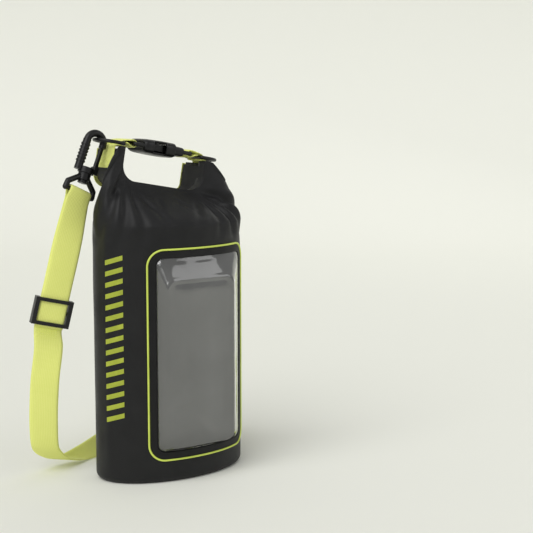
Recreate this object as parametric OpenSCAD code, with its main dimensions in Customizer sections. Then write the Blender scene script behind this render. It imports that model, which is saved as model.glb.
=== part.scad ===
/* [Body] */
// Width of the bag across its oval section
body_w = 144; // [110:1:200]
// Depth of the bag, front to back
body_d = 88; // [72:1:130]
// Height of the straight part of the body
body_h = 225; // [212:1:300]
// Thickness of the coated fabric wall
wall = 1.2; // [0.8:0.1:2]
// Radius of the rounded bottom edge
edge_r = 6; // [3:0.5:10]
// Thickness of the welded base panel
base_t = 2; // [1.2:0.1:3]
// Width of the welded seam strip at the back
seam_w = 10; // [6:1:16]

/* [Rolled top] */
// Clear width between the two raised ears
handle_w = 83; // [76:1:110]
// Height of the ears above the floor of the handle
ear_h = 28; // [24:1:36]
// Depth of the rolled stack, front to back
roll_w = 36; // [26:1:44]
// Thickness of the rolled stack
roll_t = 6; // [4.5:0.5:8]
// Rise of the shoulders, from the straight part to the handle floor
shoulder_h = 31.5; // [25:0.5:60]
// Sideways lean of the rolled top
top_tilt = 10; // [0:1:12]
// Thickness of the stiffener strip in the roll
strip_t = 1.5; // [1:0.1:2]

/* [Window] */
// Width of the window along the curved front
window_w = 110; // [80:1:112]
// Height of the window
window_h = 186; // [120:1:190]
// Height of its lower edge above the base
window_z = 20; // [14:1:30]
// Shift of its centre towards +X, along the surface
window_shift = 11; // [0:1:12]
// Radius of its outer corners
window_r = 15; // [10:1:20]
// Width of the dark border inside the piping
bezel_w = 8; // [5:0.5:12]
// Radius of the piping
piping_r = 0.9; // [0.6:0.1:1.4]
// Distance that the raised clear panel stands off the front
raise = 6; // [3:0.5:9]

/* [Webbing] */
// Width of the webbing
web_w = 25; // [20:1:28]
// Thickness of the webbing
web_t = 1.6; // [1.2:0.1:2]

/* [Hardware] */
// Radius of the ring wire
wire_r = 1.6; // [1.3:0.1:2]
// Straight depth of a ring before its round end
ring_leg = 6; // [4:0.5:10]
// Overall width of the buckle
buckle_w = 31; // [30:0.5:35]
// Thickness of the buckle
buckle_t = 10; // [8:0.5:12]
// Radius of the hook's bow
bow_r = 8; // [7.5:0.5:10]
// Radius of the hook's rod
rod_r = 3.2; // [2.8:0.1:3.6]
// Height of the bow's centre above the eye's bar
bow_z = 46; // [42:1:56]

/* [Hidden] */
$fn = 48;

gap = 0.3;          // clearance between separate pieces
fit = 0.1;          // running clearance of a pin or a bar
side_n = 48;        // points round the body's section
outline_n = 6;      // steps in each corner of the window
half_w = body_w / 2;
half_d = body_d / 2;
top_z = body_h + shoulder_h;
top_x = -6;
top_y = 18;
roll_in = handle_w / 2;
roll_out = roll_in + roll_t;
roll_r = 12;        // outer radius of the roll's two bends
slot_y = 3 - roll_w / 2;
mouth_gap = 1.5;    // half distance between the two fabric layers at the mouth
loop_in = wire_r + 0.2;
loop_out = loop_in + web_t;
ring_r = web_w / 2 + 0.5 + wire_r;
ring_depth = ring_leg + ring_r;
elbow_r = 2.4;      // bend between a ring's bar and its legs
tab_x = roll_out + web_t / 2 + 0.1;
tab_z = ear_h + loop_out + 0.4;
ring_x = tab_x - 8;  // place of a ring's bar, over the top of the ear
buckle_z = tab_z + 1.4;
bar_r = 1.9;
bar_x = 29;
web_fit = 0.7;      // side clearance of webbing in its hardware

// ---- small vector helpers
function unit(v) = v / norm(v);
function mix(a, b, k) = a + (b - a) * k;
function ease(k) = k * k * (3 - 2 * k);
module place(o, zdir, xdir) {
    z = unit(zdir);
    y = unit(cross(z, xdir));
    x = cross(y, z);
    multmatrix([[x.x, y.x, z.x, o.x], [x.y, y.y, z.y, o.y], [x.z, y.z, z.z, o.z], [0, 0, 0, 1]])
        children();
}
module top_frame() {
    translate([top_x, top_y, top_z]) rotate([0, top_tilt, 0]) children();
}
function top_pt(p) = [top_x + p.x * cos(top_tilt) + p.z * sin(top_tilt), top_y + p.y,
    top_z - p.x * sin(top_tilt) + p.z * cos(top_tilt)];

// ---- the body's oval section; t is 0 at the front, 90 at +X, 180 at the back
function oval(t, grow) = [(half_w + grow) * sin(t), -(half_d + grow) * cos(t)];
function arc_len(t) = (half_w + half_d) / 2 * t * PI / 180 + (half_w - half_d) / 4 * sin(2 * t);
function arc_angle(s, t = 0, n = 0) = n > 7 ? t
    : arc_angle(s, t + (s - arc_len(t)) / (PI / 180 * norm([half_w * cos(t), half_d * sin(t)])), n + 1);
function oval_band(t0, t1, g0, g1, n = 12) = concat(
    [for (i = [0:n]) oval(mix(t0, t1, i / n), g1)],
    [for (i = [n:-1:0]) oval(mix(t0, t1, i / n), g0)]);
function oval_ring(grow, n = side_n) = [for (i = [0:n - 1]) oval(360 * i / n, grow)];

function middle(ring) = [for (i = [0:2]) [for (p = ring) p[i]] * [for (p = ring) 1] / len(ring)];
// ---- a skin through rings of n points each, closed on itself or capped at both ends
module skin(rings, capped) {
    n = len(rings[0]);
    m = len(rings);
    last = capped ? m - 2 : m - 1;
    walls = [for (j = [0:last], i = [0:n - 1]) let (a = j * n, b = (j + 1) % m * n, k = (i + 1) % n)
        each [[a + i, a + k, b + k], [a + i, b + k, b + i]]];
    caps = [for (i = [0:n - 1]) let (k = (i + 1) % n, e = (m - 1) * n)
        each [[k, i, m * n], [e + i, e + k, m * n + 1]]];
    points = [for (r = rings) each r];
    polyhedron(points = capped ? concat(points, [middle(rings[0]), middle(rings[m - 1])]) : points,
        faces = capped ? concat(walls, caps) : walls, convexity = 10);
}

// ---- body
// The mouth is flattened and bent into a U under the roll.
mouth_off = 0.5;    // distance of the mouth's fabric from the roll
mouth_half = roll_in + roll_t + mouth_off;
mouth_flat = mouth_half - roll_r;
mouth_bend = PI / 2 * (roll_r + mouth_off);
mouth_up = ear_h - 4 - (roll_r - roll_t);
mouth_len = mouth_flat + mouth_bend + mouth_up;
function mouth_path(s) = s < mouth_flat ? [s, -roll_t - mouth_off]
    : s < mouth_flat + mouth_bend
        ? let (a = (s - mouth_flat) / mouth_bend * 90)
            [mouth_flat + (roll_r + mouth_off) * sin(a), roll_r - roll_t - (roll_r + mouth_off) * cos(a)]
        : [mouth_half, roll_r - roll_t + s - mouth_flat - mouth_bend];
function mouth_point(t, inset) = let (
        c = t > 180 ? t - 360 : t,
        front = abs(c) <= 90,
        f = front ? c : (c > 0 ? 180 - c : -180 - c),
        s = abs(arc_len(f)) / arc_len(90) * mouth_len,
        p = mouth_path(max(0, s - inset)),
        lift = cos(f) * (mouth_gap - inset) + 0.35 * (1 - inset / 2))
    top_pt([sign(f) * p.x, slot_y + (front ? -lift : lift), p.y]);
function body_point(t, z, g) = let (o = oval(t, g)) [o.x, o.y, z];
function shoulder_point(t, k, g) = let (
        low = body_point(t, body_h, g),
        high = mouth_point(t, -g / wall))
    [mix(low.x, high.x, pow(k, 2.2)), mix(low.y, high.y, mix(k, ease(k), 0.6)), mix(low.z, high.z, k)];
function around(f) = [for (i = [0:side_n - 1]) f(360 * i / side_n)];
shoulder_n = 8;
body_rings_out = concat(
    [for (a = [0:30:90]) around(function (t) body_point(t, edge_r * (1 - cos(a)), -edge_r * (1 - sin(a))))],
    [for (z = [60, 120, 180]) around(function (t) body_point(t, z, 0))],
    [for (i = [0:shoulder_n]) around(function (t) shoulder_point(t, i / shoulder_n, 0))]);
body_rings_in = concat(
    [for (i = [shoulder_n:-1:0]) around(function (t) shoulder_point(t, i / shoulder_n, -wall))],
    [for (z = [180, 120, 60]) around(function (t) body_point(t, z, -wall))],
    [for (a = [90:-30:0])
        around(function (t) body_point(t, edge_r - (edge_r - wall) * cos(a) - (a < 10 ? wall : 0),
            -edge_r + (edge_r - wall) * sin(a) - (a < 10 ? wall : 0)))]);
module bag_body() {
    color([0.16, 0.16, 0.17])
    difference() {
        skin(concat(body_rings_out, body_rings_in), false);
        window_cut(bezel_w - 3);
    }
}

module bag_base() {
    color([0.14, 0.14, 0.15])
    linear_extrude(base_t) polygon(oval_ring(-edge_r - wall - 0.1));
}

module back_seam() {
    half = asin(seam_w / 2 / half_w);
    color([0.13, 0.13, 0.14])
    translate([0, 0, edge_r]) linear_extrude(body_h - edge_r - 6)
        polygon(oval_band(180 - half, 180 + half, 0.05, 0.75, 6));
}

// ---- rolled top
module u_shape(inner, outer, rise) {
    r_out = roll_r + outer;
    r_in = roll_r - roll_t + inner;
    difference() {
        union() {
            translate([-roll_out - outer, roll_r - roll_t]) square([2 * (roll_out + outer), rise - roll_r + roll_t]);
            translate([-roll_out + roll_r, -roll_t - outer]) square([2 * (roll_out - roll_r), roll_r + outer + 1]);
            for (s = [-1, 1]) translate([s * (roll_out - roll_r), roll_r - roll_t]) circle(r_out);
        }
        translate([-roll_in - inner, roll_r - roll_t]) square([2 * (roll_in + inner), rise]);
        translate([-roll_out + roll_r, -inner]) square([2 * (roll_out - roll_r), roll_r + inner]);
        for (s = [-1, 1]) translate([s * (roll_out - roll_r), roll_r - roll_t]) circle(r_in);
    }
}
strip_skin = (roll_t - strip_t) / 2;
module roll_top() {
    color([0.17, 0.17, 0.18])
    top_frame() rotate([90, 0, 0]) difference() {
        linear_extrude(roll_w, center = true) u_shape(0, 0, ear_h);
        linear_extrude(roll_w - 6, center = true) u_shape(strip_skin - 0.2, 0.2 - strip_skin, ear_h - 4);
    }
}

module stiffener_strip() {
    color([0.75, 0.75, 0.72])
    top_frame() rotate([90, 0, 0])
        linear_extrude(roll_w - 7, center = true) u_shape(strip_skin, -strip_skin, ear_h - 5);
}

hem_t = 1.2;
module hem_tape() {
    color([0.78, 0.87, 0.3])
    top_frame() translate([0, roll_w / 2 + 0.1 + hem_t, 0]) rotate([90, 0, 0])
        linear_extrude(hem_t) u_shape(0, 1.5, ear_h - 1);
}

// ---- window: outlines are [distance along the surface, height] pairs round the centre
film_w = window_w - 2 * bezel_w;
film_h = window_h - 2 * bezel_w;
film_z = window_z + bezel_w;
function outline(w, h, r) = [for (c = [[1, -1, 270], [1, 1, 0], [-1, 1, 90], [-1, -1, 180]],
        i = [0:outline_n]) let (a = c.z + 90 * i / outline_n)
    [c.x * (w / 2 - r) + r * cos(a), c.y * (h / 2 - r) + r * sin(a)]];
function refine(o) = [for (i = [0:len(o) - 1]) let (p = o[i], q = o[(i + 1) % len(o)],
        n = abs(q.x - p.x) > 20 ? 12 : 1)
    for (k = [0:n - 1]) mix(p, q, k / n)];
function window_outline(inset) = refine(outline(window_w - 2 * inset, window_h - 2 * inset,
    max(1.5, window_r - inset)));
function on_front(p, g) = let (q = oval(arc_angle(p.x + window_shift), g))
    [q.x, q.y, p.y + window_z + window_h / 2];
module window_band(in0, in1, g0, g1) {
    a = window_outline(in0);
    b = window_outline(in1);
    skin([[for (p = a) on_front(p, g1)], [for (p = a) on_front(p, g0)],
        [for (p = b) on_front(p, g0)], [for (p = b) on_front(p, g1)]], false);
}
module window_cut(inset) {
    o = window_outline(inset);
    flat = [for (p = o) let (q = on_front(p, 0)) [q.x, q.z]];
    translate([0, -half_d * 0.3, 0]) rotate([90, 0, 0]) linear_extrude(half_d) polygon(flat);
}
frame_t = 1;
module window_frame() {
    color([0.1, 0.1, 0.11]) window_band(1.4, bezel_w, 0.1, 0.1 + frame_t);
}
module window_piping() {
    o = window_outline(piping_r);
    color([0.78, 0.87, 0.3])
    skin([for (a = [0:45:315]) let (g = 0.1 + piping_r + piping_r * sin(a), c = window_outline(0.5 * piping_r
        - 0.5 * piping_r * cos(a))) [for (p = c) on_front(p, g)]], false);
}

// The clear film: a flat raised panel with slanted sides, set in the cut of the body.
panel_x = 3;
panel_w = 68;
panel_h = 148;
panel_z = film_z + 4;
film_t = 0.8;
panel_y = -(half_d + raise);
function panel_outline(t) = [for (p = refine(outline(panel_w - 2 * t, panel_h - 2 * t, 8)))
    [p.x + panel_x, panel_y + t, p.y + panel_z + panel_h / 2]];
module window_film() {
    rim = window_outline(bezel_w + 0.3);
    rim_in = window_outline(bezel_w + 0.3 + film_t);
    color([0.75, 0.78, 0.8, 0.4])
    skin([panel_outline(0), [for (p = rim) on_front(p, frame_t + 0.1)], [for (p = rim) on_front(p, 0.1)],
        [for (p = rim_in) on_front(p, 0.1)], panel_outline(film_t)], true);
}

// A flat sleeve behind the window, welded to the wall at its sides and bottom and open at the top.
sleeve_y = -(half_d - wall) * 0.72;
sleeve_half = (half_w - wall - 0.4) * sqrt(1 - pow(sleeve_y / (half_d - wall - 0.4), 2)) - 0.5;
module phone_sleeve() {
    color([0.45, 0.46, 0.47]) {
        translate([-sleeve_half, sleeve_y, window_z - 6]) cube([2 * sleeve_half, 1, window_h + 2]);
        translate([0, 0, window_z - 8]) linear_extrude(2) intersection() {
            polygon(oval_ring(-wall - 0.4));
            translate([-sleeve_half, -half_d]) square([2 * sleeve_half, half_d + sleeve_y + 1]);
        }
    }
}

// ---- webbing profiles: a flat strip seen edge-on, drawn through points
module stroke(points, w) {
    for (i = [0:len(points) - 2]) {
        d = points[i + 1] - points[i];
        translate(points[i]) rotate(atan2(d.y, d.x)) translate([0, -w / 2]) square([norm(d), w]);
    }
    for (i = [1:1:len(points) - 2]) translate(points[i]) circle(w / 2);
}
module eyelet(c, inner) {
    difference() {
        union() {
            translate(c) circle(inner + web_t);
            children();
        }
        translate(c) circle(inner);
    }
}
module tab_profile() {
    eyelet([ring_x, tab_z], loop_in)
        eyelet([bar_x, buckle_z], bar_r + 0.3) {
            stroke([[tab_x, 9], [tab_x, ear_h + 1.5], [ring_x + 2, ear_h + 2.1]], web_t);
            stroke([[ring_x, tab_z + loop_in + web_t / 2], [bar_x, buckle_z + bar_r + 0.3 + web_t / 2]], web_t);
        }
}
module tab_right() {
    color([0.78, 0.87, 0.3])
    top_frame() rotate([90, 0, 0]) linear_extrude(web_w, center = true) tab_profile();
}
module tab_left() {
    color([0.78, 0.87, 0.3])
    top_frame() rotate([90, 0, 0]) linear_extrude(web_w, center = true) mirror([1, 0]) tab_profile();
}

// ---- D-rings: the straight bar lies along Y at the origin, the round end reaches +X
module d_ring() {
    rotate([90, 0, 0]) cylinder(h = 2 * (ring_r - elbow_r), r = wire_r, center = true);
    for (s = [0, 1]) mirror([0, s, 0]) {
        translate([elbow_r, elbow_r - ring_r, 0]) rotate([0, 0, 180])
            rotate_extrude(angle = 90) translate([elbow_r, 0]) circle(wire_r);
        translate([elbow_r, -ring_r, 0]) rotate([0, 90, 0]) cylinder(h = ring_leg - elbow_r, r = wire_r);
    }
    translate([ring_leg, 0, 0]) rotate([0, 0, -90]) rotate_extrude(angle = 180)
        translate([ring_r, 0]) circle(wire_r);
}
module ring_left() {
    color([0.1, 0.1, 0.1])
    top_frame() translate([-ring_x, 0, tab_z]) rotate([0, 0, 180]) d_ring();
}
module ring_right() {
    color([0.1, 0.1, 0.1])
    top_frame() translate([ring_x, 0, tab_z]) d_ring();
}

// ---- side-release buckle, its axis along X
house_l = 30;       // length of the female housing
house_x = -20;      // its closed end
side_wall = 2.4;
skin_wall = 1.8;
cave_y = buckle_w / 2 - side_wall;
cave_z = buckle_t / 2 - skin_wall;
mouth_x = house_x + house_l;
prong_pin_x = 12.5;
prong_y = 9.4;
prong_pin_r = 2.2;
prong_t = 2.4;
prong_z = cave_z - 0.4;
module buckle_frame() {
    top_frame() translate([0, 0, buckle_z]) children();
}
module web_bar(x0, x1) {
    rail = buckle_w / 2 - web_w / 2 - web_fit;
    for (s = [-1, 1]) translate([min(x0, x1), s * (buckle_w / 2 - rail / 2) - rail / 2, -bar_r])
        cube([abs(x1 - x0), rail, 2 * bar_r]);
    translate([x1, 0, 0]) rotate([90, 0, 0]) cylinder(h = buckle_w, r = bar_r, center = true);
}
module rounded_block(x0, x1, w, t, r) {
    hull() for (x = [x0 + r, x1 - r], y = [-w / 2 + r, w / 2 - r])
        translate([x, y, 0]) {
            cylinder(h = t - 2, r = r, center = true, $fn = 32);
            cylinder(h = t, r = r - 1, center = true, $fn = 32);
        }
}
module buckle_female() {
    color([0.08, 0.08, 0.08])
    buckle_frame() union() {
        difference() {
            rounded_block(house_x, mouth_x, buckle_w, buckle_t, 3);
            translate([house_x + 3, -cave_y, -cave_z]) cube([house_l, 2 * cave_y, 2 * cave_z]);
            translate([-12, -buckle_w, -cave_z]) cube([13, 2 * buckle_w, 2 * cave_z]);
        }
        web_bar(house_x + 1, -bar_x);
    }
}
module buckle_male() {
    base_x = mouth_x + gap;
    slot = prong_t + 0.9;
    color([0.09, 0.09, 0.09])
    buckle_frame() union() {
        difference() {
            rounded_block(base_x, 21, buckle_w, buckle_t, 3);
            for (s = [-1, 1]) {
                translate([prong_pin_x, s * prong_y, 0]) {
                    cylinder(h = 2 * prong_z + 0.4, r = prong_pin_r + fit, center = true);
                    translate([-5, s > 0 ? -slot : -prong_t / 2 - 0.1, -prong_z - 0.2])
                        cube([5, slot + prong_t / 2 + 0.1, 2 * prong_z + 0.4]);
                }
            }
        }
        translate([-10, -2, -1.6]) cube([base_x + 11, 4, 3.2]);
        web_bar(20, bar_x);
    }
}
module prong(s) {
    color([0.12, 0.12, 0.12])
    buckle_frame() translate([prong_pin_x, s * prong_y, 0]) mirror([0, s > 0 ? 0 : 1, 0]) {
        cylinder(h = 2 * prong_z, r = prong_pin_r, center = true);
        linear_extrude(2 * prong_z, center = true)
            polygon([[0, -prong_t / 2], [-18, -prong_t / 2], [-23, -1.6], [-25.5, 0.6], [-25, 2.4],
                [-23, cave_y - gap - prong_y], [-13.5, cave_y - gap - prong_y], [-12.5, prong_t / 2],
                [0, prong_t / 2]]);
    }
}
module prong_front() { prong(-1); }
module prong_back() { prong(1); }

// ---- low anchor at the back, on the +X side
anchor_t = 130;     // its place round the section
anchor_z = 26;      // lower end of the webbing patch
ring_low_z = 63;
ring_low_tilt = 25;
anchor_half = web_w / 2 * 180 / PI / norm([half_w * cos(anchor_t), half_d * sin(anchor_t)]);
anchor_o = oval(anchor_t, 0);
anchor_n = unit([anchor_o.x / half_w / half_w, anchor_o.y / half_d / half_d, 0]);
ring_low_c = [anchor_o.x, anchor_o.y, ring_low_z] + anchor_n * (0.1 + web_t + loop_out + 0.1);
module anchor_patch() {
    color([0.78, 0.87, 0.3])
    translate([0, 0, anchor_z]) linear_extrude(ring_low_z - anchor_z + 6)
        polygon(oval_band(anchor_t - anchor_half, anchor_t + anchor_half, 0.1, 0.1 + web_t));
}
module anchor_loop() {
    flap = ring_low_z - anchor_z - 20;
    color([0.75, 0.85, 0.28])
    place(ring_low_c, [0, 0, 1], anchor_n) rotate([90, 0, 0]) linear_extrude(web_w, center = true)
        eyelet([0, 0], loop_in)
            stroke([[-loop_out + web_t / 2, 0], [-loop_out + web_t / 2, -flap]], web_t);
}
module ring_low() {
    color([0.1, 0.1, 0.1])
    place(ring_low_c, [0, 0, 1], anchor_n) rotate([0, 90 - ring_low_tilt, 0]) d_ring();
}

// ---- swivel snap hook; the eye's bar lies on the origin, the shank points along +Z
hang = bow_z + bow_r - rod_r - wire_r - gap;
function clip_point(top) = top ? top_pt([-ring_x - ring_depth, 0, tab_z])
    : ring_low_c + ring_depth * (sin(ring_low_tilt) * anchor_n + [0, 0, -cos(ring_low_tilt)]);
hook_top_dir = unit([19, 2, 45]);
hook_low_dir = unit([-31.4, -24.9, 27.8]);
eye_top_c = clip_point(true) - hang * hook_top_dir;
eye_low_c = clip_point(false) - hang * hook_low_dir;
function square_to(v, axis) = unit(v - (v * axis) * axis);
bar_top_dir = square_to([0.976, 0.22, 0], hook_top_dir);
bar_low_dir = square_to([0, 0, 1], hook_low_dir);
rod_top_dir = [0, 1, 0];
rod_low_dir = unit(cross(anchor_n, [0, 0, 1]));
eye_half = web_w / 2 + web_fit + 2.6;
eye_bar_r = 2;
eye_shoulder = 5.5; // height at which the eye's legs turn in to its neck
neck_r = 2.6;
neck_z = 11.5;
neck_h = 6;
module eye() {
    difference() {
        union() {
            translate([0, 0, neck_z]) cylinder(h = neck_h, r = 5.6);
            for (s = [-1, 1]) {
                hull() {
                    translate([s * 3.6, 0, neck_z + 2.6]) sphere(2.5, $fn = 24);
                    translate([s * (eye_half - 0.6), 0, eye_shoulder]) sphere(2.5, $fn = 24);
                }
                hull() {
                    translate([s * (eye_half - 0.6), 0, eye_shoulder]) sphere(2.5, $fn = 24);
                    translate([s * eye_half, 0, 0]) sphere(2.6, $fn = 24);
                }
            }
            rotate([0, 90, 0]) cylinder(h = 2 * eye_half, r = eye_bar_r, center = true);
        }
        translate([0, 0, neck_z - 6]) cylinder(h = neck_h + 8, r = neck_r + fit);
        translate([0, 0, neck_z - 6]) cylinder(h = 6.2, r = 4.6);
    }
}
collar_z = neck_z + neck_h + 0.2;
collar_h = 5;
gate_x = bow_r - 0.4;
gate_pin_z = collar_z + collar_h + 2 + gap;
gate_t = 2.4;
gate_w = 4.4;
tip_l = 2.4;        // straight end of the bow, above the gate
module hook() {
    translate([0, 0, neck_z - 0.4]) cylinder(h = collar_z - neck_z + 0.6, r = neck_r);
    translate([0, 0, neck_z - 3]) cylinder(h = 2.8, r = 4);
    translate([0, 0, collar_z]) cylinder(h = collar_h, r = 6.8);
    for (s = [-1, 1]) translate([gate_x - 2, s * (gate_w / 2 + 1) - 0.8, collar_z + 1]) cube([4, 1.6, collar_h + 2]);
    translate([-bow_r, 0, collar_z + 1]) cylinder(h = bow_z - collar_z - 1, r = rod_r + 0.3);
    for (z = [collar_z + 8:3:bow_z - 3]) translate([-bow_r, 0, z]) cylinder(h = 1.4, r = rod_r + 0.9);
    translate([0, 0, bow_z]) rotate([90, 0, 0]) rotate_extrude(angle = 180) translate([bow_r, 0]) circle(rod_r);
    translate([bow_r, 0, bow_z - tip_l]) cylinder(h = tip_l, r = rod_r);
}
module gate() {
    tip_z = bow_z - tip_l - gap;
    difference() {
        union() {
            translate([gate_x, 0, gate_pin_z]) rotate([90, 0, 0]) cylinder(h = gate_w, r = 2, center = true);
            translate([gate_x - gate_t / 2, -gate_w / 2, gate_pin_z]) cube([gate_t, gate_w, tip_z - gate_pin_z]);
        }
        translate([gate_x, 0, gate_pin_z]) rotate([90, 0, 0]) cylinder(h = gate_w + 1, r = 1 + fit, center = true);
    }
}
module gate_pin() {
    translate([gate_x, 0, gate_pin_z]) rotate([90, 0, 0]) cylinder(h = gate_w + 0.2, r = 1, center = true);
}
module at_top_hook(bar) {
    place(eye_top_c, hook_top_dir, bar ? bar_top_dir : cross(rod_top_dir, hook_top_dir)) children();
}
module at_low_hook(bar) {
    place(eye_low_c, hook_low_dir, bar ? bar_low_dir : cross(rod_low_dir, hook_low_dir)) children();
}
module eye_top() { color([0.09, 0.09, 0.09]) at_top_hook(true) eye(); }
module hook_top() { color([0.11, 0.11, 0.11]) at_top_hook(false) hook(); }
module gate_top() { color([0.14, 0.14, 0.14]) at_top_hook(false) gate(); }
module eye_low() { color([0.09, 0.09, 0.09]) at_low_hook(true) eye(); }
module hook_low() { color([0.11, 0.11, 0.11]) at_low_hook(false) hook(); }
module gate_low() { color([0.14, 0.14, 0.14]) at_low_hook(false) gate(); }
module gate_pin_top() { color([0.5, 0.5, 0.5]) at_top_hook(false) gate_pin(); }
module gate_pin_low() { color([0.5, 0.5, 0.5]) at_low_hook(false) gate_pin(); }

// ---- shoulder strap: rows of two edge points, hand-laid from the slider to the low eye
slider_c = [-103, 25, 150];
slider_w = unit([0.978, -0.208, 0]);
strap_dir = unit(slider_c - eye_top_c);
slider_x = square_to(slider_w, strap_dir);
function row(c, w) = [c - w * web_w / 2, c + w * web_w / 2];
STRAP_ROWS = [
    row([-105, 29, 118], unit([0.93, -0.36, 0])),
    row([-107, 33, 90], unit([0.866, -0.5, 0])),
    row([-106.5, 38, 64], unit([0.866, -0.5, 0.02])),
    row([-105, 42, 45], unit([0.87, -0.49, 0.04])),
    [[-113, 52, 27], [-91, 41, 25]],
    [[-108, 56, 19], [-85, 45, 17]],
    [[-98, 60, 12], [-75, 50, 9]],
    [[-86, 64, 8], [-62, 56, 4]],
    [[-76, 66.5, 9], [-53, 61, 1.4]],
    [[-66, 67, 12], [-47, 63.5, 0.9]],
    [[-55, 67, 16], [-41, 65, 0.9]],
    [[-42, 68, 21], [-34, 67, 0.9]],
    [[-28, 71, 25], [-25, 70, 0.9]],
    [[-5, 76, 25.9], [-5, 76, 0.9]],
    [[20, 80, 25.9], [20, 80, 0.9]],
    [[45, 82, 25.9], [44, 82, 0.9]],
    [[66, 81, 26.5], [63, 80, 1.6]],
    [[82, 78.5, 27.8], [76, 75.5, 3.6]]
];
function row_c(r) = (r[0] + r[1]) / 2;
// a turn of webbing round an eye's bar: start on one side, end on the other
function wrap(c, w, along, n = 8) = let (u = square_to(along, w), v = cross(w, u),
        r = eye_bar_r + 0.3 + web_t / 2)
    [for (i = [0:n]) let (a = -90 + 180 * i / n) row(c + r * (-u * cos(a) * 1 + v * sin(a)), w)];
fold_gap = web_t + 0.3;
slider_n = cross(slider_x, strap_dir);
slider_run = 62;    // straight webbing above the slider, along which it can slide
function layer(s, side) = row(slider_c + side * fold_gap / 2 * slider_n - strap_dir * s, slider_x);
function near_eye(s, side) = row(eye_top_c + strap_dir * s + side * mix(1, 3, 1 - s / 20) * slider_n,
    unit(mix(bar_top_dir, slider_x, s / 50)));
top_rows = concat(
    [layer(-14, -1), layer(20, -1), layer(slider_run, -1), near_eye(16, -1), near_eye(7, -1)],
    wrap(eye_top_c, bar_top_dir, strap_dir),
    [near_eye(7, 1), near_eye(16, 1), layer(slider_run, 1), layer(20, 1), layer(-14, 1)]);
low_in = row_c(STRAP_ROWS[len(STRAP_ROWS) - 1]);
low_along = unit(low_in - eye_low_c);
low_rows = wrap(eye_low_c, bar_low_dir, low_along);
low_back = row(eye_low_c + low_along * 16 + cross(bar_low_dir, low_along) * (web_t + 1.6), bar_low_dir);
strap_rows = concat(top_rows, STRAP_ROWS, low_rows, [low_back]);
function row_n(i) = let (a = strap_rows[max(0, i - 1)], b = strap_rows[min(len(strap_rows) - 1, i + 1)])
    unit(cross(strap_rows[i][1] - strap_rows[i][0], row_c(b) - row_c(a)));
module strap_webbing() {
    n = len(strap_rows);
    color([0.78, 0.87, 0.3])
    skin([for (i = [0:n - 1]) let (r = strap_rows[i], o = row_n(i) * web_t / 2)
        [r[0] - o, r[1] - o, r[1] + o, r[0] + o]], true);
}
module slider() {
    in_y = fold_gap / 2 + web_t / 2 + gap;
    rail = 3.6;
    in_x = web_w / 2 + web_fit;
    color([0.08, 0.08, 0.08])
    place(slider_c, -strap_dir, slider_x) {
        for (s = [-1, 1]) translate([s * (in_x + rail / 2), 0, 0]) cube([rail, 2 * in_y + 2.8, 24], center = true);
        for (z = [-10.4, 10.4]) translate([0, -in_y - 0.7, z]) cube([2 * in_x + 1, 1.4, 3.2], center = true);
        translate([0, in_y + 0.7, 0]) cube([2 * in_x + 1, 1.4, 3.4], center = true);
    }
}

bag_body();
bag_base();
back_seam();
roll_top();
stiffener_strip();
hem_tape();
window_frame();
window_piping();
window_film();
phone_sleeve();
tab_left();
tab_right();
ring_left();
ring_right();
buckle_female();
buckle_male();
prong_front();
prong_back();
anchor_patch();
anchor_loop();
ring_low();
strap_webbing();
slider();
eye_top();
hook_top();
gate_top();
eye_low();
hook_low();
gate_low();
gate_pin_top();
gate_pin_low();
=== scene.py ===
import math

import bmesh
import bpy
import numpy as np
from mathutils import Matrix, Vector, noise


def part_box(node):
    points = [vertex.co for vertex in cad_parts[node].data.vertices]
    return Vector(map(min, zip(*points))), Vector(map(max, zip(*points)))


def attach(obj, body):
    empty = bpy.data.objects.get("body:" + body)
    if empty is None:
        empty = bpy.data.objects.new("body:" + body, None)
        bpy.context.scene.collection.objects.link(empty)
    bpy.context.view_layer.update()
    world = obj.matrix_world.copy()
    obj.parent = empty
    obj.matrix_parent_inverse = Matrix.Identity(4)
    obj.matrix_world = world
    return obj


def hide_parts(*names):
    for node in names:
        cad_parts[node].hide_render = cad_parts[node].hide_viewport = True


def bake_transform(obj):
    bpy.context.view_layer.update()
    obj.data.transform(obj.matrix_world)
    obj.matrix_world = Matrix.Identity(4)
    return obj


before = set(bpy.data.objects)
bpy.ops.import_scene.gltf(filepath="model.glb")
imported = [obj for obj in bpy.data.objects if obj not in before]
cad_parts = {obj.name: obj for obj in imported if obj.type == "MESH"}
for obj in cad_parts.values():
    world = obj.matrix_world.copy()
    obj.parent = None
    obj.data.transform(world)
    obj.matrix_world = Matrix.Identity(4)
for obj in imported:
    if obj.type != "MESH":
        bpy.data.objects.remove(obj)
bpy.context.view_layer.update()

# ---------------------------------------------------------------- camera and studio
# A short telephoto view from the front left, a little above the bag, which stands left of the middle
# of the frame on a pale sweep under soft light from the left.
view_turn = math.radians(-36)
view_lift = math.radians(7.5)
view_distance = 1.126
away = Vector((math.sin(view_turn) * math.cos(view_lift), -math.cos(view_turn) * math.cos(view_lift),
               math.sin(view_lift)))
sideways = Vector((math.cos(view_turn), math.sin(view_turn), 0))
aim = sideways * 0.088 + Vector((0, 0, 0.1846))
lens = bpy.data.cameras.new("lens")
lens.lens = 85
lens.sensor_width = 36
camera = bpy.data.objects.new("camera", lens)
camera.location = aim + away * view_distance
camera.rotation_euler = away.to_track_quat("Z", "Y").to_euler()
bpy.context.collection.objects.link(camera)
bpy.context.scene.camera = camera
bpy.context.scene.view_settings.view_transform = "Standard"


def new_object(name, verts, faces, body=None):
    """A mesh object with smooth faces, riding on a body if one is named."""
    mesh = bpy.data.meshes.new(name)
    mesh.from_pydata([tuple(v) for v in verts], [], faces)
    mesh.validate()
    for face in mesh.polygons:
        face.use_smooth = True
    made = bpy.data.objects.new(name, mesh)
    bpy.context.collection.objects.link(made)
    if body:
        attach(made, body)
    return made


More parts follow.
